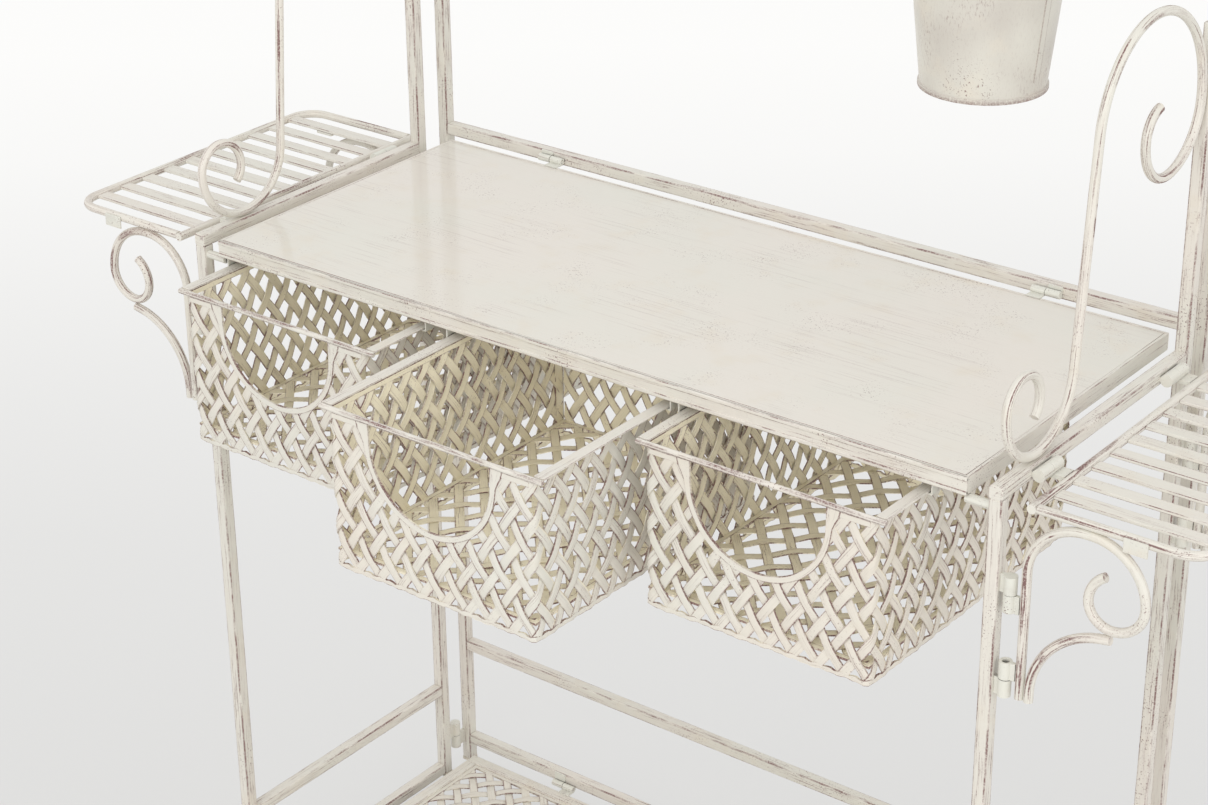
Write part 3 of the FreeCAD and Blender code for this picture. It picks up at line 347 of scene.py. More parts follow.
def antique_paint(name, streaks, worn=1.0, specked=1.0, edges=1.0, gloss=0.42, onset=0.55, inner=False,
                  base=CREAM, foot=None, bore_shade=False):
    """Brushed cream paint over brown: streaks along the metal, worn edges and fine specks.

    streaks is "uv" for bars with a length and a girth in their UV map, a letter for wires bent
    in the plane across that axis, "flat" for sheets brushed along x, or "drop" for upright shells.
    onset is the level of a streak that shows brown. inner gives a basket's inner side a khaki tone, painted
    warm bounce light in its shade.
    foot is the level of a worn lower rim, where there is one. bore_shade paints shade into bores and narrow
    gaps, darkened where an ambient occlusion node finds them closed in.
    """
    paint = Paint(name)
    coords = paint.add("ShaderNodeTexCoord")
    place = coords.outputs["Object"]
    streak, patch_noise, edge_run = grain(paint, coords, streaks)
    patch = paint.ramp(patch_noise, PATCH_SPAN)
    broken = paint.ramp(paint.noise(place, GRIT_NOISE), GRIT_SPAN)
    brushed = paint.math("MULTIPLY", paint.ramp(streak, (onset, onset + STREAK_SPAN)),
                         paint.between(broken, STREAK_BREAKS))
    brushed = paint.math("MULTIPLY", brushed, paint.between(patch, scaled(STREAK_SHARES, worn)))
    specks = paint.math("MULTIPLY", paint.ramp(paint.noise(place, SPECK_NOISE), SPECK_SPAN),
                        paint.ramp(paint.noise(place, SPECK_PATCH_NOISE), SPECK_PATCH_SPAN))
    specks = paint.math("MULTIPLY", specks, SPECK_SHARE * specked)
    # Brown along the edges is worn paint; on the weave it also stands in for shade where the strips cross
    rim = paint.ramp(paint.add("ShaderNodeAttribute", attribute_name="edge").outputs["Fac"], EDGE_SPAN)
    rim_noise = paint.math("MULTIPLY", paint.ramp(paint.noise(edge_run, EDGE_NOISE), EDGE_NOISE_SPAN),
                           paint.between(broken, EDGE_BREAKS))
    rim = paint.math("MULTIPLY", paint.math("MULTIPLY", rim, rim_noise), EDGE_SHARE * edges)
    worn_away = paint.math("ADD", paint.math("MAXIMUM", brushed, rim), specks)
    if foot is not None:
        height = paint.add("ShaderNodeSeparateXYZ", {"Vector": place}).outputs["Z"]
        low_rim = paint.math("MULTIPLY", paint.ramp(height, (foot + FOOT_WEAR, foot)),
                             paint.between(broken, FOOT_BREAKS))
        worn_away = paint.math("MAXIMUM", worn_away, low_rim)

    tone = paint.mix(paint.ramp(paint.noise(place, WASH_NOISE), WASH_SPAN), base, CREAM_COOL)
    stain = paint.math("MULTIPLY", paint.ramp(paint.noise(place, STAIN_NOISE), STAIN_SPAN), STAIN_SHARE)
    tone = paint.mix(stain, tone, CREAM_WARM)
    glaze = paint.math("MULTIPLY", paint.ramp(streak, GLAZE_SPAN),
                       paint.between(patch, scaled(GLAZE_SHARES, worn)))
    tone = paint.mix(glaze, tone, BROWN_SOFT)
    # Painted light: inward faces take a khaki tone standing in for warm light bounced round the shaded
    # inside
    if inner:
        inside = paint.add("ShaderNodeAttribute", attribute_name="inner").outputs["Fac"]
        tone = paint.mix(inside, tone, KHAKI_BOUNCE)
    colour = paint.mix(worn_away, tone, BROWN)
    # Painted shade: bores and narrow gaps darkened towards near black by ambient occlusion
    if bore_shade:
        open_sky = paint.add("ShaderNodeAmbientOcclusion", {"Distance": BORE_SHADE_REACH}).outputs["AO"]
        colour = paint.mix(paint.ramp(open_sky, BORE_SHADE_SPAN), colour, BORE_SHADE)

    sheen = paint.between(paint.noise(place, GLOSS_NOISE), [gloss + change for change in GLOSS_CHANGES])
    rough = paint.math("ADD", sheen, paint.math("MULTIPLY", worn_away, WORN_ROUGHNESS))
    peel = paint.math("MULTIPLY", paint.noise(place, PEEL_NOISE), PEEL_RELIEF)
    relief = paint.math("SUBTRACT", peel, paint.math("MULTIPLY", worn_away, WORN_RELIEF))
    return paint.finish(colour, rough, paint.bumped(relief, PAINT_BUMP, PAINT_RELIEF))


# Plastic of the foot plugs
MOTTLE_NOISE, MOTTLE_SPAN = (160.0, 3.0, 0.55), (0.40, 0.70)
SCUFF_NOISE, SCUFF_SPAN, SCUFF_SHARE = (700.0, 2.0, 0.55), (0.60, 0.72), 0.5
PLASTIC_ROUGHNESS = (0.48, 0.66)
PLASTIC_BUMP, PLASTIC_RELIEF = 0.1, 0.0004


def plastic():
    """Ivory plastic of the foot plugs, slightly mottled and scuffed."""
    paint = Paint("foot_plastic")
    place = paint.add("ShaderNodeTexCoord").outputs["Object"]
    mottle = paint.ramp(paint.noise(place, MOTTLE_NOISE), MOTTLE_SPAN)
    scuff = paint.ramp(paint.noise(place, SCUFF_NOISE), SCUFF_SPAN)
    tone = paint.mix(mottle, PLASTIC, CREAM_WARM)
    colour = paint.mix(paint.math("MULTIPLY", scuff, SCUFF_SHARE), tone, BROWN_SOFT)
    return paint.finish(colour, paint.between(scuff, PLASTIC_ROUGHNESS),
                        paint.bumped(mottle, PLASTIC_BUMP, PLASTIC_RELIEF))


BAR_PAINT = antique_paint("bar_paint", "uv", worn=0.95, edges=1.8, onset=0.54)
SLAT_PAINT = antique_paint("slat_paint", "uv", worn=0.4, specked=0.7, edges=2.2)
BORDER_PAINT = antique_paint("border_paint", "uv", worn=0.8, specked=1.3, edges=1.6)
SHEET_PAINT = antique_paint("table_paint", "flat", worn=0.16, specked=0.6, edges=3.0, gloss=0.10)
# The weave's brown strip edges are worn paint and also painted shade along the strip crossings
WEAVE_PAINT = antique_paint("weave_paint", "uv", worn=0.5, specked=0.6, edges=2.2, gloss=0.46, inner=True,
                            base=CREAM_WEAVE_SHADE)
WIRE_PAINTS = {key: antique_paint(f"wire_paint_{key.lower()}", key, worn=1.6, onset=0.50)
               for key in ("X", "Y", "Z")}
# The hinges get painted shade in their bores and gaps
HINGE_PAINT = antique_paint("hinge_paint", "Z", worn=0.7, specked=1.2, base=MINT, bore_shade=True)
BUCKET_PAINT = antique_paint("bucket_paint", "drop", worn=0.75, specked=1.0, gloss=0.34, base=TIN,
                             foot=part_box("bucket_shell")[0].z)
FOOT_PLASTIC = plastic()


def body_of(node):
    """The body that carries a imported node."""
    return cad_nodes[node]["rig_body"]


def sharpen(mesh):
    """Smooth faces, with hard edges where faces meet at a wide angle."""
    bm = bmesh.new()
    bm.from_mesh(mesh)
    for face in bm.faces:
        face.smooth = True
    for edge in bm.edges:
        edge.smooth = not edge.is_manifold or edge.calc_face_angle() < SHARP_ANGLE
    bm.to_mesh(mesh)
    bm.free()


def piece(name, mesh, material, body, replaced=()):
    """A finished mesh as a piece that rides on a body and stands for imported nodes."""
    mesh.materials.append(material)
    item = bpy.data.objects.new(name, mesh)
    bpy.context.scene.collection.objects.link(item)
    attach(item, body)
    if replaced:
        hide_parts(*replaced)
    return item


def solid_boxes(node):
    """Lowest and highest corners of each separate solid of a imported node."""
    bm = bmesh.new()
    bm.from_mesh(cad_nodes[node].data)
    bmesh.ops.remove_doubles(bm, verts=bm.verts, dist=WELD_LIMIT)
    bm.verts.ensure_lookup_table()
    seen, boxes = set(), []
    for start in bm.verts:
        if start.index in seen:
            continue
        seen.add(start.index)
        heap, island = [start], []
        while heap:
            vert = heap.pop()
            island.append(vert.co)
            for edge in vert.link_edges:
                other = edge.other_vert(vert)
                if other.index not in seen:
                    seen.add(other.index)
                    heap.append(other)
        low = Vector([min(co[axis] for co in island) for axis in range(3)])
        high = Vector([max(co[axis] for co in island) for axis in range(3)])
        boxes.append((low, high))
    bm.free()
    return boxes


def ring_profile(wide, high, rounding):
    """A rounded rectangle as points with their place along the girth and their edge wear."""
    half = (wide / 2 - rounding, high / 2 - rounding)
    fade = min(EDGE_FADE, half[0], half[1])
    points = []
    for corner, (sx, sy) in enumerate(((1, 1), (-1, 1), (-1, -1), (1, -1))):
        start = corner * math.pi / 2
        centre = Vector((sx * half[0], sy * half[1]))
        before = Vector((math.cos(start), math.sin(start)))
        after = Vector((-before.y, before.x))
        if fade > 0:
            points.append((centre + before * rounding - after * fade, 0.0))
        for step in range(ARC_STEPS + 1):
            angle = start + math.pi / 2 * step / ARC_STEPS
            wear = ARC_WEAR + (1 - ARC_WEAR) * math.sin(math.pi * step / ARC_STEPS)
            points.append((centre + rounding * Vector((math.cos(angle), math.sin(angle))), wear))
        if fade > 0:
            points.append((centre + after * rounding - before * fade, 0.0))
    return points


def add_bar(bm, low, high, rounding, shift):
    """A bar with rounded edges inside a box, with its length and girth as UV."""
    size = high - low
    axis = max(range(3), key=lambda key: size[key])
    others = [key for key in range(3) if key != axis]
    middle = (low + high) / 2
    rounding = min(rounding, size[others[0]] / 2, size[others[1]] / 2)
    profile = ring_profile(size[others[0]], size[others[1]], rounding)
    edge_layer = bm.verts.layers.float.get("edge") or bm.verts.layers.float.new("edge")
    uv_layer = bm.loops.layers.uv.get("UVMap") or bm.loops.layers.uv.new("UVMap")
    chamfer = min(END_CHAMFER, rounding / 2)
    shrink = 1 - 2 * chamfer / min(size[others[0]], size[others[1]])
    rows = ((low[axis], shrink), (low[axis] + chamfer, 1), (high[axis] - chamfer, 1), (high[axis], shrink))
    rings = []
    for place, scale in rows:
        ring = []
        for point, wear in profile:
            co = Vector(middle)
            co[axis] = place
            co[others[0]] += point.x * scale
            co[others[1]] += point.y * scale
            vert = bm.verts.new(co)
            vert[edge_layer] = wear
            ring.append(vert)
        rings.append(ring)
    count = len(profile)
    girth = [0.0]
    for index in range(count):
        girth.append(girth[-1] + (profile[(index + 1) % count][0] - profile[index][0]).length)
    for near, far, (near_place, _), (far_place, _) in zip(rings, rings[1:], rows, rows[1:]):
        for index in range(count):
            after = (index + 1) % count
            face = bm.faces.new((near[index], near[after], far[after], far[index]))
            spots = ((near_place, girth[index]), (near_place, girth[index + 1]),
                     (far_place, girth[index + 1]), (far_place, girth[index]))
            for loop, (along, around) in zip(face.loops, spots):
                loop[uv_layer].uv = (along + shift, around)
    for ring, place in ((rings[0], low[axis]), (rings[-1], high[axis])):
        face = bm.faces.new(ring)
        for loop in face.loops:
            spot = loop.vert.co
            loop[uv_layer].uv = (place + shift + spot[others[0]] - middle[others[0]], spot[others[1]])


def to_mesh(bm, name):
    """A mesh from a finished bmesh, with its normals set outwards."""
    bmesh.ops.recalc_face_normals(bm, faces=bm.faces)
    mesh = bpy.data.meshes.new(name)
    bm.to_mesh(mesh)
    bm.free()
    sharpen(mesh)
    return mesh


def bars(node, rounding, material=None):
    """Rounded bars in the place of a node's boxes."""
    bm = bmesh.new()
    for number, (low, high) in enumerate(solid_boxes(node)):
        add_bar(bm, low, high, rounding, PIECE_SHIFT * (number + len(node)))
    return piece(f"{node}_bars", to_mesh(bm, node), material or BAR_PAINT, body_of(node), (node,))


# Square tubes and flat bars
BACK_TUBES = ("post_left", "post_right", "cross_rails", "table_rail", "hanging_rail")
SIDE_TUBES = ("front_leg", "rear_post", "top_rail", "cross_rails")
TUBE_NODES = [f"back_{part}" for part in BACK_TUBES]
TUBE_NODES += [f"{side}_{part}" for side in SIDES for part in SIDE_TUBES]
for tube_node in TUBE_NODES:
    bars(tube_node, TUBE_ROUND)
for side in SIDES:
    bars(f"{side}_shelf_slats", BAR_ROUND, SLAT_PAINT)
for drawer in DRAWERS:
    bm = bmesh.new()
    for number, (low, high) in enumerate(solid_boxes(f"{drawer}_drawer_rim")):
        is_rod = high.x - low.x > high.y - low.y
        rounding = (high.z - low.z) / 2 if is_rod else THIN_ROUND
        add_bar(bm, low, high, rounding, PIECE_SHIFT * (number + len(drawer)))
    piece(f"{drawer}_drawer_rim_bars", to_mesh(bm, f"{drawer}_rim"), BORDER_PAINT, f"{drawer}_drawer",
          (f"{drawer}_drawer_rim",))


def ring_boxes(low, high, across):
    """Boxes of the four bars of a level ring: front, rear, left and right."""
    return ((low, Vector((high.x, low.y + across, high.z))),
            (Vector((low.x, high.y - across, low.z)), high),
            (Vector((low.x, low.y + across, low.z)), Vector((low.x + across, high.y - across, high.z))),
            (Vector((high.x - across, low.y + across, low.z)), Vector((high.x, high.y - across, high.z))))


def shelf_border():
    """The four bars round the lower shelf."""
    bm = bmesh.new()
    for number, (low, high) in enumerate(ring_boxes(*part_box("lower_shelf_border"), SHELF_BORDER)):
        add_bar(bm, low, high, BAR_ROUND, PIECE_SHIFT * number)
    piece("lower_shelf_border_bars", to_mesh(bm, "lower_shelf_border"), BAR_PAINT, "lower_shelf",
          ("lower_shelf_border",))


def table_border():
    """The bars round the table, the front one with a rounded hem along its upper and lower edge."""
    ring_low, ring_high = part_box("table_border")
    ring_low.y += APRON_HEM_PROUD
    bm = bmesh.new()
    for number, (low, high) in enumerate(ring_boxes(ring_low, ring_high, TABLE_BORDER)):
        add_bar(bm, low, high, THIN_ROUND, PIECE_SHIFT * number)
    front = ring_low.y - APRON_HEM_PROUD
    rear = ring_low.y + TABLE_BORDER - APRON_HEM_PROUD
    for number, bottom in enumerate((ring_high.z - HEM_BEAD, ring_low.z)):
        add_bar(bm, Vector((ring_low.x, front, bottom)), Vector((ring_high.x, rear, bottom + HEM_BEAD)),
                APRON_HEM_PROUD, PIECE_SHIFT * (number + len("apron")))
    piece("table_border_bars", to_mesh(bm, "table_border"), BORDER_PAINT, "table_top",
          ("table_border",))


shelf_border()
table_border()
bars("table_sheet", SEAM_ROUND, SHEET_PAINT)


def smooth_step(value):
    """A soft step from 0 to 1."""
    value = min(max(value, 0.0), 1.0)
    return value * value * (3 - 2 * value)


def flat_strips(width, height, pitch, rise, origin, strip=STRIP_WIDTH):
    """Flat strips of a diagonal weave across a panel, cut off along its four sides.

    Each point keeps the row that it lies in, which family of strips it belongs to and how
    near it is to its strip's edge, so that the strips can be waved afterwards.
    """
    bm = bmesh.new()
    row_layer = bm.verts.layers.float.new("row")
    family_layer = bm.verts.layers.float.new("family")
    lane_layer = bm.verts.layers.float.new("lane")
    uv_layer = bm.loops.layers.uv.new("UVMap")
    half_pitch, half_rise = pitch / 2, rise / 2
    first_row = math.floor(-origin.y / half_rise) - 1
    last_row = math.ceil((height - origin.y) / half_rise) + 1
    reach = max(abs(first_row), abs(last_row)) + 2
    first = math.floor(-origin.x / half_pitch) - reach
    last = math.ceil((width - origin.x) / half_pitch) + reach
    step_length = math.hypot(half_pitch, half_rise) / WAVE_STEPS
    for family in (1, -1):
        across = Vector((rise, -family * pitch)).normalized()
        for number in range(first, last + 1):
            if number % 2 == 0:
                continue
            lines = []
            for step in range((last_row - first_row) * WAVE_STEPS + 1):
                row = first_row + step / WAVE_STEPS
                centre = origin + Vector((half_pitch * (number + family * row), half_rise * row))
                line = []
                for lane in range(STRIP_LANES + 1):
                    share = 2 * lane / STRIP_LANES - 1
                    spot = centre + across * share * strip / 2
                    vert = bm.verts.new((spot.x, spot.y, 0))
                    vert[row_layer] = row
                    vert[family_layer] = family
                    vert[lane_layer] = share
                    line.append(vert)
                lines.append(line)
            if not any(0 < vert.co.x < width for line in lines for vert in line):
                bmesh.ops.delete(bm, geom=[vert for line in lines for vert in line], context="VERTS")
                continue
            for step, (near, far) in enumerate(zip(lines, lines[1:])):
                for lane in range(STRIP_LANES):
                    face = bm.faces.new((near[lane], near[lane + 1], far[lane + 1], far[lane]))
                    for loop, (rows_on, lanes_on) in zip(face.loops, ((0, 0), (0, 1), (1, 1), (1, 0))):
                        loop[uv_layer].uv = ((step + rows_on) * step_length + number * PIECE_SHIFT,
                                             (lane + lanes_on) * strip / STRIP_LANES + family)
    for place, normal in (((EDGE_TUCK, 0, 0), (-1, 0, 0)), ((width - EDGE_TUCK, 0, 0), (1, 0, 0)),
                          ((0, EDGE_TUCK, 0), (0, -1, 0)), ((0, height - EDGE_TUCK, 0), (0, 1, 0))):
        everything = bm.verts[:] + bm.edges[:] + bm.faces[:]
        bmesh.ops.bisect_plane(bm, geom=everything, plane_co=place, plane_no=normal, clear_outer=True)
    return bm


def cut_hole(bm, outline):
    """Cut a convex outline, given anticlockwise, out of flat strips, one side after another."""
    inside = bm.faces[:]
    for here, there in zip(outline, outline[1:] + outline[:1]):
        along = there - here
        normal = Vector((along.y, -along.x, 0)).normalized()
        place = Vector((here.x, here.y, 0))
        edges = {edge for face in inside for edge in face.edges}
        verts = {vert for face in inside for vert in face.verts}
        region = list(verts) + list(edges) + inside
        result = bmesh.ops.bisect_plane(bm, geom=region, plane_co=place, plane_no=normal)
        inside = [item for item in result["geom"] if isinstance(item, bmesh.types.BMFace)
                  and (item.calc_center_median() - place).dot(normal) < 0]
    bmesh.ops.delete(bm, geom=inside, context="FACES")


def wave_strips(bm, edge_gap, place):
    """Wave flat strips over and under each other and move them to their place."""
    row_layer = bm.verts.layers.float["row"]
    family_layer = bm.verts.layers.float["family"]
    lane_layer = bm.verts.layers.float["lane"]
    edge_layer = bm.verts.layers.float.new("edge")
    for vert in bm.verts:
        lane = vert[lane_layer]
        fade = smooth_step(edge_gap(vert.co.x, vert.co.y) / WAVE_FADE)
        wave = vert[family_layer] * WAVE_HEIGHT * math.cos(math.pi * vert[row_layer])
        crown = STRIP_CROWN * (CROWN_MIDDLE - lane * lane)
        vert[edge_layer] = smooth_step((abs(lane) - EDGE_LANE) / (1 - EDGE_LANE))
        vert.co = place(vert.co.x, vert.co.y, fade * (wave + crown))
    bm.normal_update()


# Share of a ribbon's width and wear there
RIBBON_LANES = ((0.0, 1.0), (0.25, 0.0), (0.75, 0.0), (1.0, 1.0))


def ribbon(bm, lines, place):
    """A flat ribbon through pairs of points of a panel, with worn edges."""
    edge_layer = bm.verts.layers.float.get("edge") or bm.verts.layers.float.new("edge")
    uv_layer = bm.loops.layers.uv.get("UVMap") or bm.loops.layers.uv.new("UVMap")
    rows, lengths = [], [0.0]
    for number, (inner, outer) in enumerate(lines):
        row = []
        for share, wear in RIBBON_LANES:
            spot = inner.lerp(outer, share)
            vert = bm.verts.new(place(spot.x, spot.y, 0))
            vert[edge_layer] = wear
            row.append(vert)
        rows.append(row)
        if number:
            lengths.append(lengths[-1] + (outer - lines[number - 1][1]).length)
    for near, far, near_length, far_length in zip(rows, rows[1:], lengths, lengths[1:]):
        for index in range(len(RIBBON_LANES) - 1):
            face = bm.faces.new((near[index], near[index + 1], far[index + 1], far[index]))
            left, right = RIBBON_LANES[index][0], RIBBON_LANES[index + 1][0]
            spots = ((near_length, left), (near_length, right), (far_length, right), (far_length, left))
            for loop, (along, share) in zip(face.loops, spots):
                loop[uv_layer].uv = (along, share * HEM_HEIGHT)


def thickened(bm, name, thickness, centre=None):
    """The flat faces of a bmesh given a thickness, as a finished mesh.

    Points that face a centre line, or all of a level panel's, are marked as a basket's inner side.
    """
    sheet = bpy.data.meshes.new(name)
    bm.to_mesh(sheet)
    bm.free()
    item = bpy.data.objects.new(name, sheet)
    bpy.context.scene.collection.objects.link(item)
    solid = item.modifiers.new("thickness", "SOLIDIFY")
    solid.thickness = thickness
    solid.offset = 0
    mesh = bpy.data.meshes.new_from_object(item.evaluated_get(bpy.context.evaluated_depsgraph_get()))
    bpy.data.objects.remove(item)
    bpy.data.meshes.remove(sheet)
    sharpen(mesh)
    inner = mesh.attributes.new("inner", "FLOAT", "POINT")
    for vert, mark in zip(mesh.vertices, inner.data):
        faces_in = centre is None or vert.normal.dot(centre - vert.co) > 0
        mark.value = float(faces_in)
    return mesh


# Number of the front wall among a band's runs: the left wall and a bend come before it
FRONT_RUN = 2


class Band:
    """The line round a drawer's walls, seen from above, from the rear left corner and back to it."""

    def __init__(self, low, high):
        self.runs = []
        rear_left, rear_right = Vector((low.x, high.y)), Vector((high.x, high.y))
        front_left, front_right = Vector((low.x, low.y)), Vector((high.x, low.y))
        corners = [rear_left, front_left, front_right, rear_right, rear_left]
        last = len(corners) - 2
        start = 0.0
        for number, (here, there) in enumerate(zip(corners, corners[1:])):
            heading = (there - here).normalized()
            first = here + heading * (CORNER_BEND if number else 0)
            length = (there - first).length - (CORNER_BEND if number < last else 0)
            self.runs.append((start, length, first, heading, None))
            start += length
            if number < last:
                turned = (corners[number + 2] - there).normalized()
                centre = there - heading * CORNER_BEND + turned * CORNER_BEND
                length = CORNER_BEND * math.pi / 2
                self.runs.append((start, length, centre, heading, turned))
                start += length
        self.length = start
        self.front, self.front_length = self.runs[FRONT_RUN][:2]
        self.front_middle = self.front + self.front_length / 2

    def place(self, along, up, out):
        """The point at a length along the line, at a height and a distance outwards."""
        for start, length, point, heading, turned in self.runs:
            if along <= start + length or start + length >= self.length:
                break
        if turned is None:
            outward = Vector((heading.y, -heading.x))
            spot = point + heading * (along - start) + outward * out
        else:
            angle = (along - start) / CORNER_BEND
            outward = -turned * math.cos(angle) + heading * math.sin(angle)
            spot = point + outward * (CORNER_BEND + out)
        return Vector((spot.x, spot.y, up))


def drawer_walls():
    """The left drawer's woven walls, their plain hems and the rim of the cut-out, as three meshes."""
    front_low, front_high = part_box("left_drawer_front")
    back_low, back_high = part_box("left_drawer_back")
    side_low, side_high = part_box("left_drawer_sides")
    half = SHEET_THICK / 2
    band = Band(Vector((side_low.x + half, (front_low.y + front_high.y) / 2)),
                Vector((side_high.x - half, (back_low.y + back_high.y) / 2)))
    height = side_high.z - side_low.z
    front_height = front_high.z - front_low.z
    radius = CUT_WIDTH / 2
    straight = CUT_DEPTH - radius
    turn_height = front_height - straight

    def place(along, up, out):
        return band.place(along, side_low.z + up, out)

    def rim_point(share, reach):
        """A point round the cut-out, from its left top to its right top, a reach outside its edge."""
        arc = math.pi * radius
        travel = share * (arc + 2 * straight)
        if travel < straight:
            spot = Vector((-radius - reach, front_height - travel))
        elif travel > straight + arc:
            spot = Vector((radius + reach, turn_height + travel - straight - arc))
        else:
            angle = math.pi + (travel - straight) / radius
            spot = Vector((math.cos(angle), math.sin(angle))) * (radius + reach) + Vector((0, turn_height))
        return spot + Vector((band.front_middle, 0))

    outline = [rim_point(step / CUT_SIDES, EDGE_TUCK) for step in range(CUT_SIDES + 1)]
    above_wall = 2 * height
    outline.insert(0, Vector((outline[0].x, above_wall)))
    outline.append(Vector((outline[-1].x, above_wall)))

    def edge_gap(along, up):
        gap = min(up, height - up) - HEM_HEIGHT / 2
        off = along - band.front_middle
        if abs(off) < band.front_length / 2:
            gap = min(gap, front_height - up - HEM_HEIGHT / 2)
            if up < turn_height:
                gap = min(gap, math.hypot(off, up - turn_height) - radius - CUT_RIM)
            else:
                gap = min(gap, abs(off) - radius - CUT_RIM)
        return gap

    front_centre = Vector((band.front_middle, front_height / 2))
    strips = flat_strips(band.length, height, WALL_PITCH, WALL_RISE, front_centre)
    cut_hole(strips, outline)
    wave_strips(strips, edge_gap, place)
    centre = (side_low + side_high) / 2
    weave = thickened(strips, "drawer_weave", STRIP_THICK, centre)

    hems = bmesh.new()

    def level_hem(start, end, bottom):
        count = math.ceil((end - start) / HEM_STEP)
        spots = [start + (end - start) * step / count for step in range(count + 1)]
        top = bottom + HEM_HEIGHT
        ribbon(hems, [(Vector((spot, bottom)), Vector((spot, top))) for spot in spots], place)

    def foot_hem():
        """The lower hem, which rises and falls with the strips that end in it."""
        count = math.ceil(band.length / HEM_STEP)
        lines = []
        for step in range(count + 1):
            spot = band.length * step / count
            turn = 2 * math.pi * (spot - band.front_middle) / WALL_PITCH
            sways = sum(math.sin(turns * turn) * sway for turns, sway in zip(HEM_TURNS, HEM_SWAYS))
            low_edge = HEM_WAVE * (1 + sways)
            high_edge = HEM_HEIGHT + HEM_WAVE * math.cos(HEM_TURNS[0] * turn)
            lines.append((Vector((spot, low_edge)), Vector((spot, high_edge))))
        ribbon(hems, lines, lambda along, up, out: place(along, up, out + foot_sway(along)))

    def foot_sway(along):
        return HEM_WAVE * HEM_SWAYS[0] * math.sin(2 * math.pi * (along - band.front_middle) / WALL_PITCH)

    foot_hem()
    level_hem(0, band.front, height - HEM_HEIGHT)
    level_hem(band.front + band.front_length, band.length, height - HEM_HEIGHT)
    for start, end in ((band.front, band.front_middle - radius - CUT_RIM),
                       (band.front_middle + radius + CUT_RIM, band.front + band.front_length)):
        level_hem(start, end, front_height - HEM_HEIGHT)
    rim_lines = []
    for step in range(CUT_STEPS + 1):
        share = step / CUT_STEPS
        inner = rim_point(share, 0)
        flare = CUT_FLARE * smooth_step((inner.y - front_height + CUT_FLARE_HEIGHT) / CUT_FLARE_HEIGHT)
        rim_lines.append((inner, rim_point(share, CUT_RIM + flare)))
    rim = bmesh.new()
    ribbon(rim, rim_lines, place)
    seam_ends = (HEM_HEIGHT, height - HEM_HEIGHT)
    ribbon(hems, [(Vector((0, spot)), Vector((SEAM_STRIP, spot))) for spot in seam_ends], place)
    return (weave, thickened(hems, "drawer_hems", HEM_THICK, centre),
            thickened(rim, "drawer_cut_rim", RIM_THICK, centre))


def flat_panel(low, high, pitch, rise, name, strip=STRIP_WIDTH, centre=None):
    """A level woven panel between two corners, with a plain hem round it, as two meshes."""
    size = high - low
    middle_z = (low.z + high.z) / 2

    def place(along, up, out):
        return Vector((low.x + along, low.y + up, middle_z + out))

    def edge_gap(along, up):
        return min(along, size.x - along, up, size.y - up) - HEM_HEIGHT / 2

    strips = flat_strips(size.x, size.y, pitch, rise, Vector((size.x / 2, size.y / 2)), strip)
    wave_strips(strips, edge_gap, place)
    hems = bmesh.new()
    outer = [Vector((0, 0)), Vector((size.x, 0)), Vector((size.x, size.y)), Vector((0, size.y))]
    inner = []
    for spot in outer:
        inwards = size.xy / 2 - spot
        inner.append(spot + Vector([math.copysign(HEM_HEIGHT, part) for part in inwards]))
    for index in range(len(outer)):
        after = (index + 1) % len(outer)
        ribbon(hems, [(inner[index], outer[index]), (inner[after], outer[after])], place)
    bmesh.ops.remove_doubles(hems, verts=hems.verts, dist=WELD_LIMIT)
    return thickened(strips, name, STRIP_THICK, centre), thickened(hems, f"{name}_hem", HEM_THICK, centre)


# Woven baskets of the drawers: one set of meshes, moved to each drawer
BASKET_PIECES = ("weave", "hems", "cut_rim", "floor_weave", "floor_hem")
wall_meshes = drawer_walls()
bottom_meshes = flat_panel(*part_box("left_drawer_bottom"), BOTTOM_PITCH, BOTTOM_RISE, "drawer_floor")
first_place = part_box("left_drawer_front")[0]
for drawer in DRAWERS:
    move = Matrix.Translation(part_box(f"{drawer}_drawer_front")[0] - first_place)
    body = f"{drawer}_drawer"
    wall_nodes = [f"{body}_{part}" for part in ("front", "back", "sides")]
    stand_ins = {"weave": wall_nodes, "floor_weave": [f"{body}_bottom"]}
    for mesh, label in zip(wall_meshes + bottom_meshes, BASKET_PIECES):
        copy = mesh.copy()
        copy.transform(move)
        piece(f"{body}_{label}", copy, WEAVE_PAINT, body, stand_ins.get(label, ()))

# Seen from a point far below, the underside of the lower shelf is its inner side, and takes the same khaki
# of painted bounce light
below_shelf = Vector((0, 0, -FLOOR_HALF))
shelf_strips, shelf_hem = flat_panel(*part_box("lower_shelf_weave"), SHELF_PITCH, SHELF_RISE, "shelf_weave",
                                     SHELF_STRIP, below_shelf)
piece("lower_shelf_strips", shelf_strips, WEAVE_PAINT, "lower_shelf", ("lower_shelf_weave",))
piece("lower_shelf_hem", shelf_hem, WEAVE_PAINT, "lower_shelf")


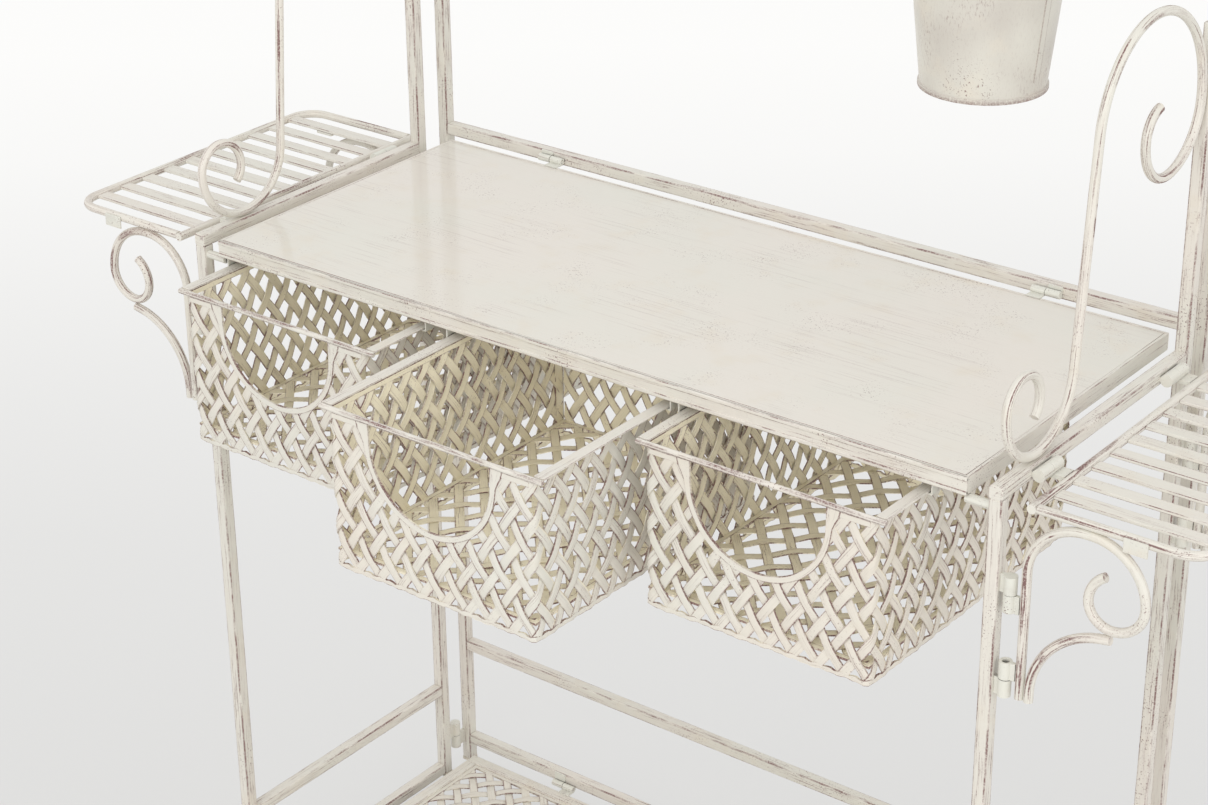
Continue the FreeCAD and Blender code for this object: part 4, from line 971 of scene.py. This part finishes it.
def bucket_seam():
    """The lapped seam up the bucket's side."""
    low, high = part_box("bucket_shell")
    middle = (low + high) / 2
    shell = [vert.co for vert in cad_nodes["bucket_shell"].data.vertices]
    radii = {(round(co.z, SHELL_DIGITS), round((co - middle).xy.length, SHELL_DIGITS)) for co in shell}
    heights = sorted({z for z, radius in radii})
    hem = HEM_ROWS * (heights[1] - heights[0])
    bottom, top = low.z + hem, high.z - hem
    foot = max(radius for z, radius in radii if z < low.z + hem / 2) - BUCKET_HEM
    mouth = max(radius for z, radius in radii if z > high.z - hem / 2) - BUCKET_HEM
    bm = bmesh.new()
    lines = []
    for step in range(SEAM_ROWS + 1):
        share = step / SEAM_ROWS
        z = bottom + (top - bottom) * share
        radius = foot + (mouth - foot) * (z - low.z) / (high.z - low.z)
        lines.append((z, radius))

    def place(across, up, out):
        row = min(int(round(up)), len(lines) - 1)
        z, radius = lines[row]
        angle = SEAM_AZIMUTH + across / radius
        spot = radius + SEAM_PROUD / 2
        return Vector((middle.x + spot * math.sin(angle), middle.y - spot * math.cos(angle), z))

    rows = range(SEAM_ROWS + 1)
    ribbon(bm, [(Vector((-SEAM_HALF, row)), Vector((SEAM_HALF, row))) for row in rows], place)
    seam = thickened(bm, "bucket_seam", SEAM_PROUD)
    piece("bucket_seam", seam, BUCKET_PAINT, "bucket")


bucket_seam()

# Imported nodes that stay: their paint, and a small bevel on their hard edges
NODE_PAINTS = {"back_arch": WIRE_PAINTS["Y"], "bucket_shell": BUCKET_PAINT, "bucket_strap": BUCKET_PAINT}
NODE_PAINTS.update({f"{side}_scroll": WIRE_PAINTS["X"] for side in SIDES})
NODE_PAINTS.update({f"{side}_shelf_frame": WIRE_PAINTS["Z"] for side in SIDES})
NODE_PAINTS.update({f"{bracket}_scroll": WIRE_PAINTS["Y"] for bracket in BRACKETS})
for name, item in cad_nodes.items():
    if item.hide_render:
        continue
    material = NODE_PAINTS.get(name, FOOT_PLASTIC if name.endswith("_feet") else HINGE_PAINT)
    for material_slot in item.material_slots:
        material_slot.material = material
    weld = item.modifiers.new("weld", "WELD")
    weld.merge_threshold = WELD_LIMIT
    bevel = item.modifiers.new("bevel", "BEVEL")
    bevel.width = CAD_BEVEL
    bevel.segments = BEVEL_SEGMENTS
    bevel.limit_method = "ANGLE"
    bevel.angle_limit = SHARP_ANGLE
    item.modifiers.new("normals", "WEIGHTED_NORMAL")


# Floor, light and camera
FLOOR_TONES = ((0.3, 0.745), (1.0, 0.795), (1.5, 0.85), (2.4, 0.965), (3.0, 1.0))
FLOOR_NEAR, FLOOR_FAR = -1.0, 5.0
FLOOR_GLOW = 0.8
FLOOR_TINT = (1.0, 0.997, 0.985)
FLOOR_ROUGHNESS = 0.7
FLOOR_WHITE = (3.2, 6.5)
WHITE = (1, 1, 1, 1)
view_heading = Vector((-math.sin(CAMERA_AZIMUTH), math.cos(CAMERA_AZIMUTH), 0))


def floor():
    """A plain pale floor that fades to white behind the object and far from it."""
    mesh = bpy.data.meshes.new("floor")
    corners = [(-FLOOR_HALF, -FLOOR_HALF, 0), (FLOOR_HALF, -FLOOR_HALF, 0), (FLOOR_HALF, FLOOR_HALF, 0),
               (-FLOOR_HALF, FLOOR_HALF, 0)]
    mesh.from_pydata(corners, [], [range(4)])
    item = bpy.data.objects.new("floor", mesh)
    bpy.context.scene.collection.objects.link(item)
    item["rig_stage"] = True
    paint = Paint("floor_paint")
    place = paint.add("ShaderNodeTexCoord").outputs["Object"]
    depth = paint.add("ShaderNodeVectorMath", operation="DOT_PRODUCT")
    paint.put(depth.inputs[0], place)
    depth.inputs[1].default_value = view_heading
    share = paint.add("ShaderNodeMapRange", {"From Min": FLOOR_NEAR, "From Max": FLOOR_FAR})
    paint.put(share.inputs["Value"], depth.outputs["Value"])
    fade = paint.add("ShaderNodeValToRGB")
    elements = fade.color_ramp.elements
    while len(elements) < len(FLOOR_TONES):
        elements.new(1.0)
    for element, (distance, tone) in zip(elements, FLOOR_TONES):
        element.position = (distance - FLOOR_NEAR) / (FLOOR_FAR - FLOOR_NEAR)
        element.color = [tone * tint for tint in FLOOR_TINT] + [1]
    paint.put(fade.inputs["Fac"], share.outputs["Result"])
    reach = paint.add("ShaderNodeVectorMath", operation="LENGTH")
    paint.put(reach.inputs[0], place)
    far = paint.ramp(reach.outputs["Value"], FLOOR_WHITE)
    colour = paint.mix(far, fade.outputs["Color"], WHITE)
    paint.put(paint.shader.inputs["Base Color"], colour)
    paint.put(paint.shader.inputs["Roughness"], FLOOR_ROUGHNESS)
    glow = paint.add("ShaderNodeEmission")
    paint.put(glow.inputs["Color"], colour)
    rays = paint.add("ShaderNodeLightPath")
    seen = paint.math("MAXIMUM", rays.outputs["Is Camera Ray"], rays.outputs["Is Glossy Ray"])
    seen = paint.math("MAXIMUM", seen, rays.outputs["Is Transmission Ray"])
    blend = paint.add("ShaderNodeMixShader")
    glow_share = paint.math("MAXIMUM", far, FLOOR_GLOW)
    paint.put(blend.inputs[0], paint.math("MULTIPLY", seen, glow_share))
    paint.put(blend.inputs[1], paint.shader.outputs["BSDF"])
    paint.put(blend.inputs[2], glow.outputs["Emission"])
    paint.put(paint.tree.nodes["Material Output"].inputs["Surface"], blend.outputs["Shader"])
    mesh.materials.append(paint.material)


floor()

AMBIENT = 0.84


def world_light():
    """Even white light from all round, seen as plain white."""
    world = bpy.data.worlds.new("studio")
    world.use_nodes = True
    bpy.context.scene.world = world
    tree = world.node_tree
    background = tree.nodes["Background"]
    background.inputs["Color"].default_value = WHITE
    rays = tree.nodes.new("ShaderNodeLightPath")
    strength = tree.nodes.new("ShaderNodeMapRange")
    strength.inputs["To Min"].default_value = AMBIENT
    seen = tree.nodes.new("ShaderNodeMath")
    seen.operation = "MAXIMUM"
    tree.links.new(rays.outputs["Is Camera Ray"], seen.inputs[0])
    tree.links.new(rays.outputs["Is Glossy Ray"], seen.inputs[1])
    seen_through = tree.nodes.new("ShaderNodeMath")
    seen_through.operation = "MAXIMUM"
    tree.links.new(seen.outputs[0], seen_through.inputs[0])
    tree.links.new(rays.outputs["Is Transmission Ray"], seen_through.inputs[1])
    tree.links.new(seen_through.outputs[0], strength.inputs["Value"])
    tree.links.new(strength.outputs["Result"], background.inputs["Strength"])


world_light()

# Soft lamps: name, place, what it looks at, width, watts
LAMPS = (
    ("key", Vector((0.6, -3.1, 2.6)), Vector((0, 0, 0.5)), 2.4, 42),
    ("fill", Vector((3.6, -1.0, 1.7)), Vector((0.1, 0, 0.5)), 2.4, 24),
)
for lamp_name, lamp_place, target, lamp_width, watts in LAMPS:
    lamp = bpy.data.lights.new(lamp_name, "AREA")
    lamp.energy = watts
    lamp.size = lamp_width
    lamp_item = bpy.data.objects.new(lamp_name, lamp)
    lamp_item.location = lamp_place
    lamp_item.rotation_euler = (target - lamp_place).to_track_quat("-Z", "Y").to_euler()
    bpy.context.scene.collection.objects.link(lamp_item)

camera = bpy.data.cameras.new("camera")
camera.sensor_fit = "HORIZONTAL"
camera.sensor_width = SENSOR_WIDTH
camera.lens = FOCAL_PIXELS / IMAGE_WIDTH * SENSOR_WIDTH
camera.clip_start = CLIP_NEAR
camera.clip_end = CLIP_FAR
camera_item = bpy.data.objects.new("camera", camera)
bpy.context.scene.collection.objects.link(camera_item)
sin_a, cos_a = math.sin(CAMERA_AZIMUTH), math.cos(CAMERA_AZIMUTH)
sin_e, cos_e = math.sin(CAMERA_ELEVATION), math.cos(CAMERA_ELEVATION)
level = Vector((cos_a, sin_a, 0))
back = Vector((sin_a * cos_e, -cos_a * cos_e, sin_e))
upright = back.cross(level)
right = level * math.cos(CAMERA_ROLL) + upright * math.sin(CAMERA_ROLL)
above = upright * math.cos(CAMERA_ROLL) - level * math.sin(CAMERA_ROLL)
turn = Matrix((right, above, back)).transposed().to_4x4()
camera_item.matrix_world = Matrix.Translation(CAMERA_PLACE) @ turn
bpy.context.scene.camera = camera_item
bpy.context.scene.view_settings.view_transform = "Standard"

low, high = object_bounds()
